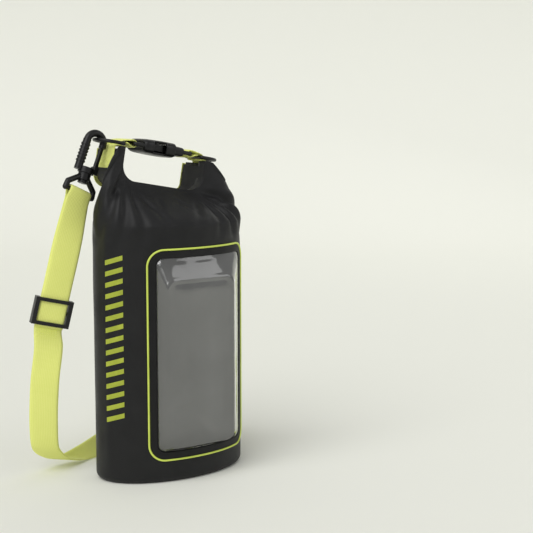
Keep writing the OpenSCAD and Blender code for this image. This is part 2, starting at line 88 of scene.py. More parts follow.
def node_material(name):
    """A new node material, its shader, and a short way to add nodes to it."""
    made = bpy.data.materials.new(name)
    made.use_nodes = True
    tree = made.node_tree
    shader = tree.nodes["Principled BSDF"]

    def add(kind, **values):
        node = tree.nodes.new("ShaderNode" + kind)
        for key, value in values.items():
            if hasattr(node, key):
                setattr(node, key, value)
            else:
                node.inputs[key.replace("_", " ")].default_value = value
        return node

    return made, shader, add


def join(giver, output, taker, socket):
    """Links one node's output to another's socket."""
    giver.id_data.links.new(giver.outputs[output], taker.inputs[socket])


sweep_half = 3.0
sweep_back = 1.6
sweep_curve = 0.9
steps = [(0, -sweep_half, 0.0)]
for k in range(25):
    turn = math.pi / 2 * k / 24
    steps.append((0, sweep_back + sweep_curve * math.sin(turn), sweep_curve * (1 - math.cos(turn))))
steps.append((0, sweep_back + sweep_curve, 3.2))
verts, faces = [], []
for _, run, rise in steps:
    for across in (-sweep_half, sweep_half):
        verts.append(sideways * across - Vector((away.x, away.y, 0)).normalized() * run + Vector((0, 0, rise)))
for k in range(len(steps) - 1):
    faces.append((2 * k, 2 * k + 1, 2 * k + 3, 2 * k + 2))
backdrop = new_object("backdrop", verts, faces)
paper, paper_shader, _ = node_material("studio_paper")
paper_shader.inputs["Base Color"].default_value = (0.86, 0.865, 0.80, 1)
paper_shader.inputs["Roughness"].default_value = 0.9
paper_shader.inputs["Specular IOR Level"].default_value = 0.1
backdrop.data.materials.append(paper)

world = bpy.data.worlds.new("studio_light")
world.use_nodes = True
world.node_tree.nodes["Background"].inputs["Color"].default_value = (1.0, 1.0, 0.985, 1)
world.node_tree.nodes["Background"].inputs["Strength"].default_value = 0.42
bpy.context.scene.world = world


def soft_box(name, place, size, power):
    """A large square lamp aimed at the middle of the bag."""
    lamp = bpy.data.lights.new(name, "AREA")
    lamp.shape = "SQUARE"
    lamp.size = size
    lamp.energy = power
    made = bpy.data.objects.new(name, lamp)
    made.location = place
    aim_at = Vector(place) - Vector((0, 0, 0.15))
    made.rotation_euler = aim_at.to_track_quat("Z", "Y").to_euler()
    bpy.context.collection.objects.link(made)


soft_box("key_light", (-1.5, -1.3, 1.5), 1.1, 3.5)
soft_box("front_card", (1.05, -1.30, 0.95), 1.0, 3.4)
soft_box("rim_light", (1.6, 1.0, 1.0), 0.9, 1.5)
sun = bpy.data.lights.new("window_light", "SUN")
sun.energy = 1.5
sun.angle = math.radians(48)
sun_object = bpy.data.objects.new("window_light", sun)
sun_from = Vector((0, 0, 0.86)) - sideways * 0.40 + Vector((away.x, away.y, 0)) * 0.66
sun_object.rotation_euler = sun_from.to_track_quat("Z", "Y").to_euler()
bpy.context.collection.objects.link(sun_object)


# ---------------------------------------------------------------- the bag's body
# One tube of black coated polyester, welded up the back. It stands open and oval on its base, and its
# mouth is pressed flat and bent into a U under the rolled top, which pulls soft folds down from both ears.
body_low, body_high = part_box("bag_body")
half_wide = (body_high[0] - body_low[0]) / 2
half_deep = 0.044
straight_top = 0.225
bottom_edge = 0.006
top_turn = math.radians(10)
top_seat = Vector((-0.006, 0.018, 0.2565))
roll_thick = 0.006
roll_inside = 0.0415
roll_outside = roll_inside + roll_thick
roll_bend = 0.012
ear_top = 0.028
mouth_off = -0.0010
roll_half = 0.018
mouth_y = 0.003 - roll_half


def oval(turn, grow=0.0):
    """A point of the body's section; turn is 0 at the front and grows towards +X."""
    return (half_wide + grow) * np.sin(turn), -(half_deep + grow) * np.cos(turn)


def oval_run(turn):
    """Distance along the surface from the middle of the front."""
    return (half_wide + half_deep) / 2 * turn + (half_wide - half_deep) / 4 * np.sin(2 * turn)


run_table = np.linspace(-math.pi, math.pi, 2001)
run_values = oval_run(run_table)


def oval_turn(run):
    """The turn at a distance along the surface."""
    return np.interp(run, run_values, run_table)


def to_world(x, y, z):
    """From the rolled top's own frame, which leans to one side, to the bag's."""
    return (top_seat.x + x * math.cos(top_turn) + z * math.sin(top_turn), top_seat.y + y,
            top_seat.z - x * math.sin(top_turn) + z * math.cos(top_turn))


def u_path(run, radius, flat, floor):
    """The U under the roll, by distance from its middle: x, z and the direction of its outside."""
    bend = math.pi / 2 * radius
    if run < flat:
        return run, floor, (0.0, -1.0)
    if run < flat + bend:
        a = (run - flat) / radius
        return flat + radius * math.sin(a), floor + radius * (1 - math.cos(a)), (math.sin(a), -math.cos(a))
    return flat + radius, floor + radius + run - flat - bend, (1.0, 0.0)


mouth_flat = roll_outside - roll_bend
mouth_radius = roll_bend + mouth_off
mouth_rise = ear_top - 0.004 - (roll_bend - roll_thick)
mouth_length = mouth_flat + math.pi / 2 * mouth_radius + mouth_rise
lip_radius = 0.014
lip_y = -0.0187
lip_lift = 0.0004
lip_rise = ear_top + 0.0005 - lip_radius


def lip_path(run):
    """Where the front cloth turns over the roll: along the handle's floor, up an ear and across its top."""
    flat = roll_inside - lip_radius
    bend = math.pi / 2 * lip_radius
    if run < flat:
        return run, lip_lift
    if run < flat + bend:
        a = (run - flat) / lip_radius
        return flat + lip_radius * math.sin(a), lip_lift + lip_radius * (1 - math.cos(a))
    if run < flat + bend + lip_rise:
        return roll_inside, lip_lift + lip_radius + run - flat - bend
    return roll_inside + run - flat - bend - lip_rise, lip_lift + lip_radius + lip_rise


lip_over_ear = 0.0065
lip_length = (roll_inside - lip_radius) + math.pi / 2 * lip_radius + lip_rise + lip_over_ear


def mouth_point(turn):
    """Where the fabric at this place of the section meets the rolled top."""
    front = abs(turn) <= math.pi / 2
    folded = turn if front else math.copysign(math.pi - abs(turn), turn)
    share = abs(oval_run(folded)) / oval_run(math.pi / 2)
    if front:
        x, z = lip_path(share * lip_length)
        return to_world(math.copysign(x, folded) if folded else 0.0, lip_y, z)
    x, z, _ = u_path(share * mouth_length, mouth_radius, mouth_flat, -roll_thick - mouth_off)
    lift = 0.0012 * math.cos(folded) + 0.0005
    aside = 1 - math.cos(folded)
    back_y = mouth_y + lift
    return to_world(math.copysign(x, folded) if folded else 0.0, back_y + (lip_y - back_y) * aside ** 6, z)


columns = 224
edge_rows = 6
row_pitch = 0.003
shoulder_rows = 34
shoulder_run = 0.042
turns = np.linspace(-math.pi, math.pi, columns, endpoint=False)
mouth = np.array([mouth_point(t) for t in turns])
rows, row_heights = [], []
for step in range(edge_rows):
    a = math.pi / 2 * step / edge_rows
    x, y = oval(turns, -bottom_edge * (1 - math.sin(a)))
    rows.append(np.stack([x, y, np.full(columns, bottom_edge * (1 - math.cos(a)))], 1))
    row_heights.append(bottom_edge * (1 - math.cos(a)))
for z in np.arange(bottom_edge, straight_top, row_pitch):
    x, y = oval(turns)
    rows.append(np.stack([x, y, np.full(columns, z)], 1))
    row_heights.append(z)
for step in range(shoulder_rows + 1):
    k = step / shoulder_rows
    x, y = oval(turns)
    soft = k * k * (3 - 2 * k)
    rows.append(np.stack([x + (mouth[:, 0] - x) * k ** 2.2, y + (mouth[:, 1] - y) * (0.4 * k + 0.6 * soft),
                          straight_top + (mouth[:, 2] - straight_top) * k], 1))
    row_heights.append(straight_top + shoulder_run * k)
over = np.clip((math.radians(88) - np.abs(turns)) / math.radians(8), 0, 1)
last = rows[-1].copy()
for back, drop in ((0.0008, -0.0001), (0.0022, 0.0), (0.0045, 0.0002), (0.0075, 0.0004), (0.0110, 0.0007)):
    turned = last.copy()
    turned[:, 1] += back * over
    turned[:, 2] -= drop * over
    turned[:, 2] += 0.0001 * (1 - over)
    rows.append(turned)
    row_heights.append(row_heights[-1] + 0.001)
shell = np.array(rows)
run_here = oval_run(turns)[None, :].repeat(len(rows), 0)
high_here = np.array(row_heights)[:, None].repeat(columns, 1)


def grid_normals(points):
    """Outward directions of a grid whose rows run round and whose columns run up."""
    around = np.roll(points, -1, 1) - np.roll(points, 1, 1)
    up = np.gradient(points, axis=0)
    out = np.cross(around, up)
    return out / np.maximum(np.linalg.norm(out, axis=2, keepdims=True), 1e-9)


def fold(start, end, width, depth):
    """A soft valley with raised lips that starts strong under an ear and dies out down the cloth."""
    p0, p1 = np.array(start), np.array(end)
    along = p1 - p0
    length = np.linalg.norm(along)
    along = along / length
    half_round = oval_run(math.pi)
    ds = (run_here - p0[0] + half_round) % (2 * half_round) - half_round
    dh = high_here - p0[1]
    u = (ds * along[0] + dh * along[1]) / length
    v = (-ds * along[1] + dh * along[0]) / (width * (0.7 + 0.8 * np.clip(u, 0, 1)))
    fade = np.clip(u / 0.18, 0, 1) ** 0.8 * np.clip(1 - u, 0, 1) ** 1.3
    return -depth * fade * (1 - 1.4 * v ** 2) * np.exp(-v ** 2)


back_run = oval_run(math.pi)
crumple = np.zeros_like(run_here)
for start, end, width, depth in (
        ((0.046, 0.262), (0.108, 0.206), 0.0060, 0.0058), ((0.044, 0.258), (0.085, 0.190), 0.0055, 0.0054),
        ((0.040, 0.254), (0.058, 0.182), 0.0050, 0.0038), ((0.034, 0.252), (0.028, 0.196), 0.0050, 0.0030),
        ((0.024, 0.252), (-0.004, 0.214), 0.0045, 0.0024), ((0.052, 0.250), (0.094, 0.228), 0.0045, 0.0044),
        ((-0.052, 0.266), (-0.104, 0.196), 0.0065, 0.0040), ((-0.050, 0.262), (-0.078, 0.178), 0.0060, 0.0030),
        ((-0.044, 0.258), (-0.046, 0.188), 0.0050, 0.0022), ((-0.036, 0.256), (-0.012, 0.210), 0.0050, 0.0022),
        ((-0.060, 0.252), (-0.096, 0.232), 0.0045, 0.0026), ((0.000, 0.254), (0.022, 0.226), 0.0040, 0.0012),
        ((-0.014, 0.254), (-0.034, 0.224), 0.0040, 0.0012),
        ((back_run - 0.046, 0.262), (back_run - 0.100, 0.196), 0.0065, 0.0042),
        ((back_run - 0.044, 0.258), (back_run - 0.070, 0.176), 0.0060, 0.0034),
        ((back_run - 0.036, 0.256), (back_run - 0.036, 0.190), 0.0050, 0.0024),
        ((back_run - 0.026, 0.254), (back_run - 0.004, 0.214), 0.0045, 0.0020),
        ((-back_run + 0.046, 0.262), (-back_run + 0.098, 0.200), 0.0060, 0.0036),
        ((-back_run + 0.042, 0.258), (-back_run + 0.066, 0.182), 0.0060, 0.0030),
        ((-back_run + 0.032, 0.256), (-back_run + 0.030, 0.196), 0.0050, 0.0024),
        ((-back_run + 0.022, 0.254), (-back_run + 0.002, 0.220), 0.0045, 0.0016)):
    crumple += fold(start, end, width, depth)
for j in range(shell.shape[0]):
    for i in range(columns):
        p = Vector((run_here[j, i] * 9, high_here[j, i] * 5, 3.0))
        q = Vector((run_here[j, i] * 30, high_here[j, i] * 17, 8.0))
        lively = min(1.0, high_here[j, i] / 0.03) * (0.35 + 0.65 * min(1.0, high_here[j, i] / 0.2) ** 3)
        crumple[j, i] += lively * (0.0017 * noise.noise(p) + 0.0007 * noise.noise(q))
for ridge_run, ridge_depth in ((-0.079, 0.0007), (-0.118, 0.0006), (0.112, 0.0007), (back_run - 0.052, 0.0008),
                               (-back_run + 0.060, 0.0006)):
    crumple += ridge_depth * np.exp(-((run_here - ridge_run) / 0.0045) ** 2) * np.clip(high_here / 0.03, 0, 1)
# The window is welded in flat, so the cloth round it lies smooth, and both ends are held.
window_run, window_half_w, window_z0, window_z1 = 0.011, 0.055, 0.020, 0.206
outside = np.maximum(np.maximum(np.abs(run_here - window_run) - window_half_w,
                                np.maximum(window_z0 - high_here, high_here - window_z1)), 0)
calm_margin = 0.012
calm = np.clip(outside / calm_margin, 0, 1)
held = np.clip(high_here / 0.02, 0, 1) * np.clip((straight_top + 0.0425 - high_here) / 0.008, 0.04, 1)
crumple *= (calm * calm * (3 - 2 * calm)) * held
shell = shell + grid_normals(shell) * crumple[:, :, None]

verts = shell.reshape(-1, 3)
faces = []
hole_inset = 0.005
hole_corner = 0.010
for j in range(shell.shape[0] - 1):
    for i in range(columns):
        k = (i + 1) % columns
        s = oval_run(turns[i] + math.pi / columns) - window_run
        z = (row_heights[j] + row_heights[j + 1]) / 2 - (window_z0 + window_z1) / 2
        over = np.array([abs(s) - (window_half_w - hole_inset - hole_corner),
                         abs(z) - ((window_z1 - window_z0) / 2 - hole_inset - hole_corner)])
        if np.linalg.norm(np.maximum(over, 0)) >= hole_corner:
            faces.append((j * columns + i, j * columns + k, (j + 1) * columns + k, (j + 1) * columns + i))
bag_cloth = new_object("bag_cloth", verts, faces, "bag")


def lay_uv(made, where):
    """UVs in metres of cloth, so that a weave keeps its size; where gives them for each vertex."""
    layer = made.data.uv_layers.new(name="cloth")
    for face in made.data.polygons:
        pairs = [list(where[v]) for v in face.vertices]
        spread = max(p[0] for p in pairs) - min(p[0] for p in pairs)
        for corner_index, pair in zip(face.loop_indices, pairs):
            if spread > 0.15 and pair[0] < 0:
                pair = [pair[0] + 2 * oval_run(math.pi), pair[1]]
            layer.data[corner_index].uv = pair


def drop_loose(made):
    """Takes away vertices that no face uses."""
    work = bmesh.new()
    work.from_mesh(made.data)
    bmesh.ops.delete(work, geom=[v for v in work.verts if not v.link_faces], context="VERTS")
    work.to_mesh(made.data)
    work.free()


def thicken(made, amount, offset=-1.0):
    """Gives a sheet its thickness, inwards unless another offset is given."""
    skin = made.modifiers.new("thickness", "SOLIDIFY")
    skin.thickness = amount
    skin.offset = offset
    skin.use_even_offset = False


cloth_thick = 0.0008
lay_uv(bag_cloth, np.stack([run_here, high_here], 2).reshape(-1, 2))
drop_loose(bag_cloth)
thicken(bag_cloth, cloth_thick)
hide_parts("bag_body")


def weave_bump(add, shader, pitch, depth, strength):
    """Crossed threads of one pitch, as a bump."""
    place = add("TexCoord")
    per_band = 2 * math.pi / (20 * pitch)
    across = add("TexWave", wave_type="BANDS", bands_direction="X", wave_profile="SIN", Scale=per_band)
    along = add("TexWave", wave_type="BANDS", bands_direction="Y", wave_profile="SIN", Scale=per_band)
    both = add("Math", operation="MULTIPLY")
    bump = add("Bump", Strength=strength, Distance=depth)
    join(place, "UV", across, "Vector")
    join(place, "UV", along, "Vector")
    join(across, "Fac", both, 0)
    join(along, "Fac", both, 1)
    join(both, 0, bump, "Height")
    join(bump, "Normal", shader, "Normal")


def mottle(add, shader, socket, scale, low, high):
    """Slow uneven variation of one socket, as on any cloth or moulding that is handled."""
    place = add("TexCoord")
    spots = add("TexNoise", Scale=scale, Detail=4.0, Roughness=0.6)
    spread = add("MapRange", From_Min=0.3, From_Max=0.7, To_Min=low, To_Max=high)
    join(place, "Object", spots, "Vector")
    join(spots, "Fac", spread, "Value")
    join(spread, "Result", shader, socket)


def two_shades(add, dark, dark_at, light, light_at):
    """A ramp between two near shades of one colour."""
    ramp = add("ValToRGB")
    for stop, colour, place in zip(ramp.color_ramp.elements, (dark, light), (dark_at, light_at)):
        stop.position = place
        stop.color = (*colour, 1)
    return ramp


def tinted(add, shader, dark, light, scale):
    """Base colour that drifts between two near shades."""
    place = add("TexCoord")
    spots = add("TexNoise", Scale=scale, Detail=5.0, Roughness=0.62)
    ramp = two_shades(add, dark, 0.32, light, 0.68)
    join(place, "Object", spots, "Vector")
    join(spots, "Fac", ramp, "Fac")
    join(ramp, "Color", shader, "Base Color")


coated, coated_shader, coated_add = node_material("coated_polyester")
weave_bump(coated_add, coated_shader, 0.0007, 0.00012, 0.35)
tinted(coated_add, coated_shader, (0.0085, 0.0086, 0.0092), (0.0125, 0.0126, 0.0133), 38)
mottle(coated_add, coated_shader, "Roughness", 55, 0.42, 0.54)
coated_shader.inputs["Specular IOR Level"].default_value = 0.26
coated_shader.inputs["Sheen Weight"].default_value = 0.02
coated_shader.inputs["Sheen Roughness"].default_value = 0.5
bag_cloth.data.materials.append(coated)


# ---------------------------------------------------------------- base panel and back seam
# The flat base is a heavier piece of the same coated cloth, welded in. The tube's own weld is a flat
# taped seam up the middle of the back.
def on_cloth(run, height, lift=0.0):
    """The finished cloth's surface at a distance round from the middle of the front and a height."""
    column = (float(oval_turn(run)) + math.pi) / (2 * math.pi) * columns
    row = min(max(float(np.interp(height, row_heights, range(len(row_heights)))), 0.0), len(row_heights) - 1.001)
    c0, r0 = int(math.floor(column)), int(row)
    fc, fr = column - c0, row - r0
    low = shell[r0, c0 % columns] * (1 - fc) + shell[r0, (c0 + 1) % columns] * fc
    high = shell[r0 + 1, c0 % columns] * (1 - fc) + shell[r0 + 1, (c0 + 1) % columns] * fc
    around = shell[r0, (c0 + 1) % columns] - shell[r0, c0 % columns]
    out = Vector(around).cross(Vector(high - low)).normalized()
    return Vector(low * (1 - fr) + high * fr) + out * lift


def dress(node, material):
    """Gives a node that is shown as it is its finish."""
    mesh = bpy.data.objects[node].data
    mesh.materials.clear()
    mesh.materials.append(material)


def strip_mesh(name, rows, thickness, body=None, across=12, step=0.0015):
    """A woven or welded strip through rows of two edge points, with rounded edges and UVs in metres."""
    mids = [(Vector(a) + Vector(b)) / 2 for a, b in rows]
    halves = [(Vector(b) - Vector(a)) / 2 for a, b in rows]
    run = [0.0]
    for k in range(1, len(mids)):
        run.append(run[-1] + max((mids[k] - mids[k - 1]).length, 1e-5))

    def curve(values, k, u):
        p = [values[max(0, min(len(values) - 1, k + d))] for d in (-1, 0, 1, 2)]
        t = [run[max(0, min(len(values) - 1, k + d))] for d in (-1, 0, 1, 2)]
        h = t[2] - t[1]
        m1 = (p[2] - p[0]) / max(t[2] - t[0], 1e-6) * h
        m2 = (p[3] - p[1]) / max(t[3] - t[1], 1e-6) * h
        return (p[1] * (2 * u ** 3 - 3 * u * u + 1) + m1 * (u ** 3 - 2 * u * u + u)
                + p[2] * (3 * u * u - 2 * u ** 3) + m2 * (u ** 3 - u * u))

    centre, half = [], []
    for k in range(len(mids) - 1):
        parts = max(1, int(round((run[k + 1] - run[k]) / step)))
        for q in range(parts):
            centre.append(curve(mids, k, q / parts))
            half.append(curve(halves, k, q / parts))
    centre.append(mids[-1])
    half.append(halves[-1])
    section = []
    for k in range(across + 1):
        a = -1 + 2 * k / across
        section.append((a, math.sqrt(max(0.0, 1 - abs(a) ** 10)) * 0.92 + 0.08))
    loop = section + [(a, -b) for a, b in reversed(section)]
    verts, where, faces = [], [], []
    travelled = 0.0
    for k, (c, h) in enumerate(zip(centre, half)):
        if k:
            travelled += (c - centre[k - 1]).length
        along = centre[min(k + 1, len(centre) - 1)] - centre[max(k - 1, 0)]
        out = h.cross(along).normalized()
        for a, b in loop:
            verts.append(c + h * a + out * b * thickness / 2)
            where.append((a * h.length, travelled))
    n = len(loop)
    for k in range(len(centre) - 1):
        for i in range(n):
            j = (i + 1) % n
            faces.append((k * n + i, k * n + j, (k + 1) * n + j, (k + 1) * n + i))
    faces.append(tuple(range(n))[::-1])
    faces.append(tuple(range((len(centre) - 1) * n, len(centre) * n)))
    made = new_object(name, verts, faces, body)
    lay_uv(made, where)
    return made, travelled


dress("bag_base", coated)
seam_half = 0.005
seam_rows = []
seam_thick = 0.0011
for z in np.linspace(0.008, 0.262, 60):
    seam_rows.append((on_cloth(back_run - seam_half, z, cloth_thick), on_cloth(seam_half - back_run, z, cloth_thick)))
seam_strip, _ = strip_mesh("seam_strip", seam_rows, seam_thick, "bag", 10, 0.003)
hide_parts("back_seam")
taped, taped_shader, taped_add = node_material("welded_tape")
weave_bump(taped_add, taped_shader, 0.0012, 0.0001, 0.25)
tinted(taped_add, taped_shader, (0.006, 0.006, 0.0065), (0.0095, 0.0095, 0.010), 60)
mottle(taped_add, taped_shader, "Roughness", 80, 0.42, 0.55)
taped_shader.inputs["Specular IOR Level"].default_value = 0.25
seam_strip.data.materials.append(taped)

# ---------------------------------------------------------------- rolled top
# The mouth is rolled down flat in four layers and bent up at both ends into two ears, whose ends show
# the fold of each layer. The layers are the same coated cloth, pressed but not sewn.
roll_layers = 4
layer_gap = roll_thick / roll_layers
layer_thick = layer_gap * 0.93
roll_rows = 150
rolled_in = (0.0, 0.0011, 0.0004, 0.0007)
rolled_short = (0.0022, 0.0, 0.0010, 0.0022)
verts, faces, where = [], [], []
for layer in range(roll_layers):
    depth_in = layer_gap * (layer + 0.5)
    radius = roll_bend - roll_thick + depth_in
    flat = roll_outside - roll_bend
    floor = -depth_in
    rise = ear_top - 0.0012 - (roll_bend - roll_thick) - rolled_short[layer]
    whole = flat + math.pi / 2 * radius + rise
    reach = roll_half - rolled_in[layer]
    base = len(verts)
    ring = []
    for k in range(28):
        c, s = math.cos(math.tau * k / 28), math.sin(math.tau * k / 28)
        ring.append((math.copysign(abs(c) ** 0.16, c), math.copysign(abs(s) ** 0.9, s)))
    for q in range(roll_rows + 1):
        s = whole * (2 * q / roll_rows - 1)
        x, z, out = u_path(abs(s), radius, flat, floor)
        side = 1 if s >= 0 else -1
        tip = min(1.0, (whole - abs(s)) / 0.0012)
        squeeze = math.sqrt(max(0.02, 1 - (1 - tip) ** 2))
        for a, b in ring:
            wave = 0.00028 * noise.noise(Vector((s * 60, a * 2, layer * 5.0)))
            edge = 0.0005 * noise.noise(Vector((s * 35, 40 + layer * 9.0, 3.0))) * abs(a)
            t = b * layer_thick / 2 * squeeze + wave * abs(b)
            verts.append(to_world(side * (x + out[0] * t), (reach + edge) * a, z + out[1] * t))
            where.append((a * reach, s))
    n = len(ring)
    for q in range(roll_rows):
        for i in range(n):
            j = (i + 1) % n
            faces.append((base + q * n + i, base + (q + 1) * n + i, base + (q + 1) * n + j, base + q * n + j))
    faces.append(tuple(base + i for i in range(n)))
    faces.append(tuple(base + roll_rows * n + i for i in range(n))[::-1])
rolled_cloth = new_object("rolled_cloth", verts, faces, "bag")
lay_uv(rolled_cloth, where)
rolled_cloth.data.materials.append(coated)
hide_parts("roll_top")

# ---------------------------------------------------------------- stiffener strip
# A thin strip of flexible plastic is welded inside the first turn of the roll. It keeps the mouth
# straight while it is rolled, and the handle flat afterwards.
stiff, stiff_shader, stiff_add = node_material("strip_plastic")
tinted(stiff_add, stiff_shader, (0.020, 0.020, 0.021), (0.030, 0.030, 0.031), 70)
mottle(stiff_add, stiff_shader, "Roughness", 90, 0.35, 0.5)
dress("stiffener_strip", stiff)


# ---------------------------------------------------------------- lime hem tape
# Woven tape binds the back edge of the roll, all along the U. It is sewn on with one row of stitches
# along its middle.
def webbing_material(name, base, groove_shade):
    """Flat-woven webbing: thick ribs across, fine threads along, and a slow drift in the dye. The weave's low spots
    take a darker colour, which is painted shade in its grooves.
    """
    made, shader, add = node_material(name)
    pitch = 0.0011
    place = add("TexCoord")
    ribs = add("TexWave", wave_type="BANDS", bands_direction="Y", wave_profile="SIN", Scale=math.tau / (20 * pitch),
               Distortion=0.4)
    threads = add("TexWave", wave_type="BANDS", bands_direction="X", wave_profile="SIN",
                  Scale=math.tau / (20 * pitch * 1.35), Distortion=0.3)
    fuzz = add("TexNoise", Scale=1400, Detail=3.0)
    both = add("Math", operation="MULTIPLY")
    total = add("Math", operation="MULTIPLY_ADD")
    for wave in (ribs, threads, fuzz):
        join(place, "UV", wave, "Vector")
    join(ribs, "Fac", both, 0)
    join(threads, "Fac", both, 1)
    join(fuzz, "Fac", total, 0)
    total.inputs[1].default_value = 0.35
    join(both, 0, total, 2)
    bump = add("Bump", Strength=0.75, Distance=0.00028)
    join(total, 0, bump, "Height")
    join(bump, "Normal", shader, "Normal")
    # Painted shade: where the weave is low, the colour goes to the darker groove colour.
    ramp = two_shades(add, groove_shade, 0.05, base, 0.75)
    join(total, 0, ramp, "Fac")
    drift = add("TexNoise", Scale=45, Detail=4.0)
    shade = add("Mix", data_type="RGBA", blend_type="MULTIPLY")
    join(place, "Object", drift, "Vector")
    join(drift, "Fac", shade, "Factor")
    join(ramp, "Color", shade, "A")
    shade.inputs["B"].default_value = (0.95, 0.96, 0.90, 1)
    join(shade, "Result", shader, "Base Color")
    shader.inputs["Roughness"].default_value = 0.78
    shader.inputs["Specular IOR Level"].default_value = 0.22
    shader.inputs["Sheen Weight"].default_value = 0.15
    return made


# The second colour is painted shade for the grooves of the weave.
lime = webbing_material("lime_webbing", (0.98, 1.0, 0.34), (0.86, 0.92, 0.22))
thread, thread_shader, thread_add = node_material("lime_thread")
tinted(thread_add, thread_shader, (0.80, 0.86, 0.22), (0.90, 0.95, 0.28), 300)
mottle(thread_add, thread_shader, "Roughness", 400, 0.6, 0.8)


def stitch_line(name, points, outs, body, length=0.0022, gap=0.0010, radius=0.00032):
    """A row of sewn stitches, each a small rounded bead of thread, along points on a surface."""
    pts = [Vector(p) for p in points]
    run = [0.0]
    for k in range(1, len(pts)):
        run.append(run[-1] + (pts[k] - pts[k - 1]).length)
    rings = sides = 6
    verts, faces = [], []
    s = gap
    while s + length < run[-1]:
        ends = []
        for d in (s, s + length):
            k = min(max(int(np.searchsorted(run, d)) - 1, 0), len(pts) - 2)
            u = (d - run[k]) / max(run[k + 1] - run[k], 1e-9)
            ends.append((pts[k].lerp(pts[k + 1], u), Vector(outs[k]).lerp(Vector(outs[k + 1]), u).normalized()))
        along = (ends[1][0] - ends[0][0]).normalized()
        base = len(verts)
        for q in range(rings):
            u = q / (rings - 1)
            fat = radius * math.sqrt(max(0.02, 1 - (2 * u - 1) ** 4))
            here = ends[0][0].lerp(ends[1][0], u)
            out = ends[0][1].lerp(ends[1][1], u).normalized()
            beside = along.cross(out).normalized()
            sink = out * (-0.5 * radius * (2 * u - 1) ** 4)
            for w in range(sides):
                a = math.tau * w / sides
                verts.append(here + sink + beside * fat * math.cos(a) + out * fat * math.sin(a))
        for q in range(rings - 1):
            for w in range(sides):
                v = (w + 1) % sides
                ring = base + q * sides
                faces.append((ring + w, ring + v, ring + sides + v, ring + sides + w))
        faces.append(tuple(base + w for w in range(sides))[::-1])
        faces.append(tuple(base + (rings - 1) * sides + w for w in range(sides)))
        s += length + gap
    made = new_object(name, verts, faces, body)
    made.data.materials.append(thread)


verts, faces, where = [], [], []
hem_steps = 150
hem_cols = 8
hem_in = roll_thick + 0.0002
flat = roll_outside - roll_bend
whole = flat + math.pi / 2 * roll_bend + ear_top - 0.0022 - (roll_bend - roll_thick)
for q in range(hem_steps + 1):
    s = 2 * q / hem_steps - 1
    side = 1 if s >= 0 else -1
    x, z, out = u_path(abs(s) * whole, roll_bend, flat, -roll_thick)
    climb = min(1.0, max(0.0, (abs(s) * whole - flat) / 0.02))
    hem_out = 0.0012 + 0.0022 * climb * (1 - climb) * 2
    for a in range(hem_cols + 1):
        u = a / hem_cols
        t = -hem_in + (hem_in + hem_out) * u
        puff = 0.0011 * math.sqrt(max(0.0, 1 - abs(2 * u - 1) ** 6))
        wave = 0.00025 * noise.noise(Vector((s * 14, u * 2, 7.0)))
        verts.append(to_world(side * (x + out[0] * t), 0.0183 + puff + wave, z + out[1] * t))
        where.append(((u - 0.5) * (hem_in + hem_out), s * whole))
for q in range(hem_steps):
    for a in range(hem_cols):
        here, onward = q * (hem_cols + 1) + a, (q + 1) * (hem_cols + 1) + a
        faces.append((here, onward, onward + 1, here + 1))
hem = new_object("lime_hem", verts, faces, "bag")
lay_uv(hem, where)
thicken(hem, 0.0007, 0.0)
hem.data.materials.append(lime)
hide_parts("hem_tape")
hem_middle = [verts[q * (hem_cols + 1) + hem_cols // 2] for q in range(4, hem_steps - 3)]
hem_line = [Vector(point) + Vector((0, 0.0005, 0)) for point in hem_middle]
stitch_line("hem_stitches", hem_line, [(0, 1, 0)] * len(hem_line), "bag")

# ---------------------------------------------------------------- window border and piping
# A frame of dark coated cloth with rounded corners is welded round the window, over the edge of the
# film. A bead of soft lime piping is welded along its outer edge.
window_mid = (window_z0 + window_z1) / 2
border_corner = 0.015


def outline(width, height, radius, per_corner=14):
    """A rounded rectangle as a loop of evenly close points, anticlockwise from the lower right corner."""
    loop = []
    for sx, sz, start in ((1, -1, 270), (1, 1, 0), (-1, 1, 90), (-1, -1, 180)):
        for k in range(per_corner + 1):
            a = math.radians(start + 90 * k / per_corner)
            loop.append((sx * (width / 2 - radius) + radius * math.cos(a),
                         sz * (height / 2 - radius) + radius * math.sin(a)))
    side_parts, end_parts, straight = 40, 26, 0.012
    fine = []
    for p, q in zip(loop, loop[1:] + loop[:1]):
        parts = 1
        if math.hypot(q[0] - p[0], q[1] - p[1]) > straight:
            parts = side_parts if abs(q[1] - p[1]) > abs(q[0] - p[0]) else end_parts
        for k in range(parts):
            fine.append((p[0] + (q[0] - p[0]) * k / parts, p[1] + (q[1] - p[1]) * k / parts))
    return fine


def window_loop(inset, lift):
    """A loop on the curved front, that far inside the window's outer edge."""
    loop = []
    for s, z in outline(2 * window_half_w - 2 * inset, window_z1 - window_z0 - 2 * inset,
                        max(0.0015, border_corner - inset)):
        x, y = oval(float(oval_turn(s + window_run)), lift)
        loop.append(Vector((x, y, z + window_mid)))
    return loop


def loops_mesh(name, loops, body=None, closed=False):
    """A skin through loops of the same number of points."""
    n, m = len(loops[0]), len(loops)
    faces = []
    for j in range(m if closed else m - 1):
        for i in range(n):
            k = (i + 1) % n
            faces.append((j * n + i, j * n + k, (j + 1) % m * n + k, (j + 1) % m * n + i))
    return new_object(name, [p for loop in loops for p in loop], faces, body)


border_loops = []
for inset, lift in ((0.0012, 0.0002), (0.0014, 0.0009), (0.0022, 0.0012), (0.0035, 0.00105), (0.005, 0.0010),
                    (0.0065, 0.00115), (0.0076, 0.0012), (0.0080, 0.0009), (0.0081, -0.0002)):
    border_loops.append(window_loop(inset, lift))
border = loops_mesh("window_border", border_loops, "bag")
lay_uv(border, [(v.co.x, v.co.z) for v in border.data.vertices])
border.data.materials.append(taped)
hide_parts("window_frame")

